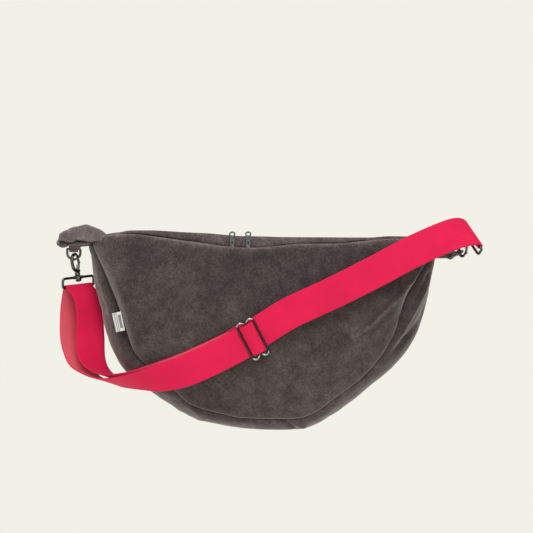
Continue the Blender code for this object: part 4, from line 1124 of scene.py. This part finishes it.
LOOP_IN = [
    left_turn[-1],
    ((-242.5, -9, 168), (-211.8, 16.0, 167)), ((-239, -11, 155), (-208.2, 14.4, 153)),
    ((-237.5, -12, 135), (-205.6, 11.7, 134)), ((-239, -14, 114), (-203.6, 5.0, 111)),
    ((-237, -18.5, 95), (-203.5, 2, 89)), ((-230, -25, 82.5), (-199, -2, 74)),
    ((-217.5, -34.5, 75.5), (-190, -8, 65.5)), ((-203.8, -44, 73.6), (-179.5, -16, 58.4)),
    ((-188.5, -53.6, 76.2), (-168, -25.6, 57.2)), ((-171.5, -60, 80.4), (-152, -35, 56.4)),
    ((-147.5, -63.3, 89.0), (-133, -46.2, 56.2)), ((-117.2, -64.3, 100.1), (-100, -62.0, 64.5)),
    across((-82.2, RUN_Y + 2.6, 115.6)), across((-46.6, RUN_Y + 2.6, 132.5))]
tail = list(right_turn)
for s, drop in ((FRONT_RUN[-2], 3.4), (FRONT_RUN[-3], 3.0), (FRONT_RUN[-4], 3.0)):
    a, b = Vector(s[0]), Vector(s[1])
    out = Vector((0.35, 0.0, 1.0))
    if s is not FRONT_RUN[-2]:
        out = Vector((-0.1, -0.8, 0.45))
    w = (b - a).normalized()
    out = (out - w * out.dot(w)).normalized()
    tail.append((tuple(a - out * drop), tuple(b - out * drop)))


def edges(stations, n, blur=0.0):
    """Dense (n x 6) near and far edges through stations, softened away from the ends."""
    E = catmull(np.array([list(s[0]) + list(s[1]) for s in stations], float), np.linspace(0, 1, n))
    mid = (E[:, :3] + E[:, 3:]) / 2
    s = np.concatenate([[0], np.cumsum(np.linalg.norm(np.diff(mid, axis=0), axis=1))])
    q = np.linspace(0, s[-1], n)
    E = np.stack([np.interp(q, s, E[:, k]) for k in range(6)], 1)
    if blur:
        step = s[-1] / (n - 1)
        rad = int(3 * blur / step)
        ker = np.exp(-0.5 * (np.arange(-rad, rad + 1) * step / blur) ** 2)
        ker /= ker.sum()
        pad = np.vstack([2 * E[0] - E[rad:0:-1], E, 2 * E[-1] - E[-2:-rad - 2:-1]])
        S = np.stack([np.convolve(pad[:, k], ker, "valid") for k in range(6)], 1)
        w = np.clip(np.minimum(q, q[-1] - q) / (2.2 * blur), 0, 1)[:, None]
        w = w * w * (3 - 2 * w)
        E = E * (1 - w) + S * w
    return E


def webbing(name, E, width, thick, step=0.8, cup=0.25, mat_b=None, seed=1.0):
    """Closed woven band with rounded selvedges through edge pairs E (n x 6)."""
    mid = (E[:, :3] + E[:, 3:]) / 2
    s = np.concatenate([[0], np.cumsum(np.linalg.norm(np.diff(mid, axis=0), axis=1))])
    n = int(s[-1] / step) + 2
    q = np.linspace(0, s[-1], n)
    mid = np.stack([np.interp(q, s, mid[:, k]) for k in range(3)], 1)
    D = E[:, 3:] - E[:, :3]
    D = np.stack([np.interp(q, s, D[:, k]) for k in range(3)], 1)
    T = np.gradient(mid, axis=0)
    T /= np.linalg.norm(T, axis=1, keepdims=True)
    D /= np.linalg.norm(D, axis=1, keepdims=True)
    Nn = np.cross(T, D)
    Nn /= np.linalg.norm(Nn, axis=1, keepdims=True)
    h, r = width / 2, thick / 2
    flat = np.linspace(-h + r, h - r, 15)
    sec = [(v, r) for v in flat]
    sec += [(h - r + r * math.sin(a), r * math.cos(a)) for a in np.linspace(0, math.pi, 7)[1:-1]]
    sec += [(v, -r) for v in flat[::-1]]
    sec += [(-h + r - r * math.sin(a), -r * math.cos(a)) for a in np.linspace(0, math.pi, 7)[1:-1]]
    sec = np.array(sec)
    V, W = sec[:, 0], sec[:, 1]
    drift = np.array([noise.fractal(Vector((x / 34.0, seed, 0)), 1.0, 2.0, 2) for x in q])
    cupping = cup * (1 - (V / h) ** 2)[None, :] * (0.6 + 0.8 * drift[:, None])
    P = mid[:, None] + D[:, None] * V[None, :, None] + Nn[:, None] * (W[None, :] + cupping)[..., None]
    uv = np.stack(np.broadcast_arrays(q[:, None] * MM, V[None, :] * MM), -1)
    ob = mesh_from_grid(name, P, M_WEB, wrap_v=True, uv=uv, caps=True)
    if mat_b is not None:
        ob.data.materials.append(mat_b)
        ns = len(sec)
        idx = np.zeros(len(ob.data.polygons), np.int32)
        k = np.arange((n - 1) * ns) % ns
        idx[: (n - 1) * ns] = (k < 14).astype(np.int32)
        ob.data.polygons.foreach_set("material_index", idx)
    bm = bmesh.new(); bm.from_mesh(ob.data)
    if sum(f.calc_area() * f.normal.dot(f.calc_center_median() - Vector(((mid[i] + SHIFT) * MM).tolist()))
           for i, f in ((k // len(sec), bm_f) for k, bm_f in enumerate(list(bm.faces)[: len(sec) * 40]))) < 0:
        bmesh.ops.reverse_faces(bm, faces=bm.faces)
    bm.to_mesh(ob.data); bm.free()
    ob.data.shade_smooth()
    ob["length_mm"] = float(q[-1])
    return ob


M_WEB_BACK = webbing_material("webbing_inner_face", colour=(214, 88, 102))
strap_edges = np.vstack([
    edges(LOOP_IN[::-1], 900, 5.0)[:-1], edges(left_turn[::-1], 120)[:-1],
    edges(LOOP_OUT + FRONT_RUN, 1800, 5.0)[:-1], edges(right_turn, 120)[:-1],
    edges(tail[len(right_turn) - 1:], 120, 0.0)])
strap = webbing("strap_webbing", strap_edges, WEB_W, WEB_T, mat_b=M_WEB_BACK)
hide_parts("strap_main_run", "strap_return_run", "strap_wrap_left", "strap_wrap_right")
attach(strap, "strap")
print("STRAP LENGTH", strap["length_mm"])


def adj(a, b, c=0.0):
    return tuple(ADJ + SL * a + CROSS * b + Vector((0, -1, 0)) * c)


HUMP = [(-8.6, -0.2), (-6.6, 1.2), (-3.4, 2.6), (0, 3.0), (3.4, 2.6), (6.6, 1.2), (8.6, -0.2)]
hump = webbing("strap_hump_webbing", edges([(adj(a, -20.0, c + 0.3), adj(a, 20.0, c + 0.3)) for a, c in HUMP], 60),
               WEB_W, 1.2, step=0.5, seed=4.0)
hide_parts("strap_hump")
end = webbing("strap_sewn_webbing", edges([(adj(a, b, -7.2), adj(a, b + 40, -7.2)) for a, b in
                                                  ((-31.5, -20.8), (-18, -22.4), (-5, -24.0))], 40),
              WEB_W, 1.2, step=0.5, seed=5.0)
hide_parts("strap_sewn_end")
for ob in (hump, end):
    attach(ob, "adjuster")

# adjuster: two long bars, and ends that dip at the middle bar
AW, AH = 11.2, 22.6
side_pts = []
loop_pts = [(AW, -16), (AW, -8), (AW, 0), (AW, 8), (AW, 16), (AW, 19.6), (AW - 0.6, 22.6), (AW - 3.0, 24.6),
            (AW - 6.2, 24.6), (2.6, 22.6), (0, 20.4), (-2.6, 22.6), (-AW + 6.2, 24.6), (-AW + 3.0, 24.6),
            (-AW + 0.6, 22.6), (-AW, 19.6)]
loop_pts += [(-a, -b) for a, b in loop_pts]
frame_w = wire("adjuster_frame_wire", [adj(a, b, 1.6 * max(0.0, (abs(b) - 19.0) / 5.6)) for a, b in loop_pts], 1.35, M_ADJ,
               cyclic=True, dense=5)
frame_w = join("adjuster_frame_wire", [frame_w])
pos = np.zeros(len(frame_w.data.vertices) * 3)
frame_w.data.vertices.foreach_get("co", pos)
pos = pos.reshape(-1, 3) / MM - np.array(SHIFT) - np.array(ADJ)
# painted reflection mask: the end loops of the frame are painted bright, the long bars dark
lobe_glint_mask = np.clip((np.abs(pos @ np.array(CROSS)) - 20.6) / 2.4, 0, 1)
set_light_paint(frame_w, lobe_glint_mask)
metal_piece(frame_w, "adjuster", "adjuster_frame")
mid_bar = wire("adjuster_bar_wire", [adj(0, b, -0.2 * math.cos(b / 14)) for b in np.linspace(-20.9, 20.9, 9)], 1.1, M_METAL, dense=4)
metal_piece(mid_bar, "adjuster", "adjuster_middle_bar")


# ================================================================== zip, label
def tape(side):
    x = np.linspace(ZIP_X0, ZIP_X1, 330)
    y = np.linspace(1.3, 10.2, 14)
    Yg, X = np.meshgrid(y, x)
    Z = ZIP_Z - 0.25 + 0.16 * np.sin(X / 9.0 + side) + 0.25 * np.clip((Yg - 7) / 3, 0, 1)
    ob = mesh_from_grid("zip_tape_%s_cloth" % ("front" if side < 0 else "back"),
                        np.stack([X, side * Yg, Z], -1), M_TAPE, flip=side > 0)
    solid(ob, 0.7, -1.0)
    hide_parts("zip_tape_%s" % ("front" if side < 0 else "back"))
    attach(ob, "bag")
    pitch = 1.35
    turns = int((ZIP_X1 - ZIP_X0 - 12) / pitch)
    pts = []
    for k in range(turns * 8):
        a = math.tau * k / 8
        pts.append((ZIP_X0 + 6 + pitch * k / 8, side * (1.15 - 1.0 * math.cos(a)), ZIP_Z + 0.25 + 0.62 * math.sin(a)))
    coil = wire("zip_coil_%s_spiral" % ("front" if side < 0 else "back"), pts, 0.32, M_COIL, dense=1, res=1)
    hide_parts("zip_coil_%s" % ("front" if side < 0 else "back"))
    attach(coil, "bag")


tape(-1)
tape(1)


def plate(name, outline, z0, z1, m, mat, bevel=0.25, holes=()):
    """A flat piece cut to an outline (x, y), from z0 to z1, with eased edges."""
    cu = bpy.data.curves.new(name, "CURVE")
    cu.dimensions = "2D"
    cu.fill_mode = "BOTH"
    cu.extrude = (z1 - z0) / 2 * MM - bevel * MM
    cu.bevel_depth = bevel * MM
    cu.bevel_resolution = 3
    cu.offset = -bevel * MM
    for ring in (outline, *holes):
        sp = cu.splines.new("POLY")
        sp.points.add(len(ring) - 1)
        for q, p in zip(sp.points, ring):
            q.co = (p[0] * MM, p[1] * MM, 0, 1)
        sp.use_cyclic_u = True
    cu.materials.append(mat)
    ob = bpy.data.objects.new(name, cu)
    scene.collection.objects.link(ob)
    mm = m @ Matrix.Translation(Vector((0, 0, (z0 + z1) / 2)))
    mm = Matrix.Translation((Vector(SHIFT.tolist()) + mm.translation) * MM) @ mm.to_3x3().to_4x4()
    ob.matrix_world = mm
    return ob


def circle(cx, cy, r, n=28, rev=False):
    return [(cx + r * math.cos(math.tau * k / n), cy + r * math.sin(math.tau * k / n)) for k in (range(n, 0, -1) if rev else range(n))]


def round_outline(pts, n=40):
    loop = np.array(pts + pts[:1], float)
    return [tuple(p) for p in catmull(np.vstack([loop]), np.linspace(0, 1, n * 2, endpoint=False))]


PULL_PIVOT_Z = ZIP_Z + 6.2
PULL_LEAN = math.radians(44)


def slider(side, x, sgn):
    m = Matrix.Translation(Vector((x, 0, ZIP_Z)))
    if sgn < 0:
        m = m @ Matrix.Rotation(math.pi, 4, "Z")
    shield = [(-5.4, -1.6), (-5.6, 0), (-5.4, 1.6), (-4.2, 2.6), (0, 3.3), (3.2, 3.9), (4.9, 3.5), (5.6, 2.2),
              (5.2, 0.6), (5.0, 0), (5.2, -0.6), (5.6, -2.2), (4.9, -3.5), (3.2, -3.9), (0, -3.3), (-4.2, -2.6)]
    a = plate("a", round_outline(shield), 1.25, 2.6, m, M_ZIP, 0.35)
    rim = [wire("r", [tuple(m @ Vector((u, s * (3.0 + 0.06 * u), 0.9))) for u in (-4.4, -2, 0, 2, 4.6)], 0.5, M_ZIP, dense=3)
           for s in (-1, 1)]
    crown = wire("c", [tuple(m @ Vector(p)) for p in
                       [(-3.6, 0, 2.3), (-3.0, 0, 3.4), (-1.6, 0, 4.15), (0, 0, 4.3), (1.6, 0, 4.15), (3.0, 0, 3.4), (3.6, 0, 2.3)]],
                 0.75, M_ZIP, dense=5)
    ob = join("zip_slider_%s_body" % side, [a, crown] + rim)
    metal_piece(ob, "slider_" + side, "zip_slider_" + side, slot="zip_metal")
    pm = Matrix.Translation(Vector((x, 0.6, PULL_PIVOT_Z))) @ Matrix.Rotation(PULL_LEAN, 4, "X")
    out = []
    for k in range(-56, 237, 12):
        t = math.radians(k)
        out.append((4.1 * math.cos(t), 17.0 + 4.1 * math.sin(t)))
    outline = [(2.5, -1.5), (2.75, 3.0), (2.9, 8.0), (2.7, 11.5)] + out + [(-2.7, 11.5), (-2.9, 8.0), (-2.75, 3.0), (-2.5, -1.5)]
    slot_hole = [(1.15, 2.2), (1.2, 3.6), (0.9, 5.0), (0, 5.5), (-0.9, 5.0), (-1.2, 3.6), (-1.15, 2.2), (-0.7, 1.5), (0.7, 1.5)]
    p = plate("p", outline, -0.65, 0.65, pm, M_ZIP, 0.3, holes=(circle(0, 17.0, 2.3), slot_hole))
    rib = wire("rib", [tuple(pm @ Vector(q)) for q in ((0, 7.4, 0.62), (0, 9.4, 0.72), (0, 11.6, 0.62))], 0.55, M_ZIP, dense=4)
    link = wire("link", [tuple(pm @ Vector(q)) for q in ((-1.9, -0.6, -0.1), (-1.9, -1.6, -0.8), (-1.2, -2.6, -1.2), (0, -2.9, -1.3), (1.2, -2.6, -1.2), (1.9, -1.6, -0.8), (1.9, -0.6, -0.1))], 0.5, M_ZIP, dense=4)
    ob = join("zip_pull_%s_tongue" % side, [p, rib, link])
    metal_piece(ob, "pull_" + side, "zip_pull_" + side, slot="zip_metal")


slider("left", SLIDER_L_X, -1)
slider("right", SLIDER_R_X, 1)
for x, nm in ((ZIP_X0 + 3.5, "left"), (ZIP_X1 - 3.5, "right")):
    m = Matrix.Translation(Vector((x, 0, ZIP_Z + 0.1)))
    bits = [wire("s", [tuple(m @ Vector((dx, y, 0.45 + 0.5 * math.cos(y / 1.6)))) for y in (-2.3, -1.2, 0, 1.2, 2.3)], 0.62, M_ZIP, dense=4)
            for dx in (-1.0, 0.1, 1.1)]
    metal_piece(join("zip_stop_%s_clip" % nm, bits), "bag", "zip_stop_" + nm, slot="zip_metal")


def label():
    """Short folded ribbon caught in the side seam; its print is left out."""
    m = frame_at((-184.9, -45.6, 140.6), (-0.275, 0.0, 1.0), (-0.36, -0.93, 0.1))
    nu, nv = 60, 70
    X = np.linspace(-12.0, 12.0, nu)
    t = np.linspace(0, 1, nv)
    out = np.clip(1 - np.abs(t - 0.5) * 2, 0, 1)         # 0 at the seam, 1 at the folded edge
    yy = -6.4 + 12.0 * out ** 0.9
    zz = np.where(t < 0.5, 0.5, -0.5) * (1 - out ** 8)
    P = np.zeros((nu, nv, 3))
    for i, x in enumerate(X):
        for j in range(nv):
            bow = 0.7 * math.sin((yy[j] + 6.4) / 12.0 * 2.4) + 0.35 * math.sin(x / 5.0)
            P[i, j] = m @ Vector((x, yy[j], zz[j] + bow))
    uv = np.stack(np.broadcast_arrays(X[:, None] * MM, (out * 12.0 * MM)[None, :]), -1)
    ob = mesh_from_grid("side_label_ribbon", P, M_LABEL, uv=uv)
    solid(ob, 0.3, 0.0)
    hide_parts("side_label")
    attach(ob, "bag")


label()

for name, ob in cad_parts.items():
    if not ob.hide_render:
        print("CAD NODE STILL SHOWN:", name)
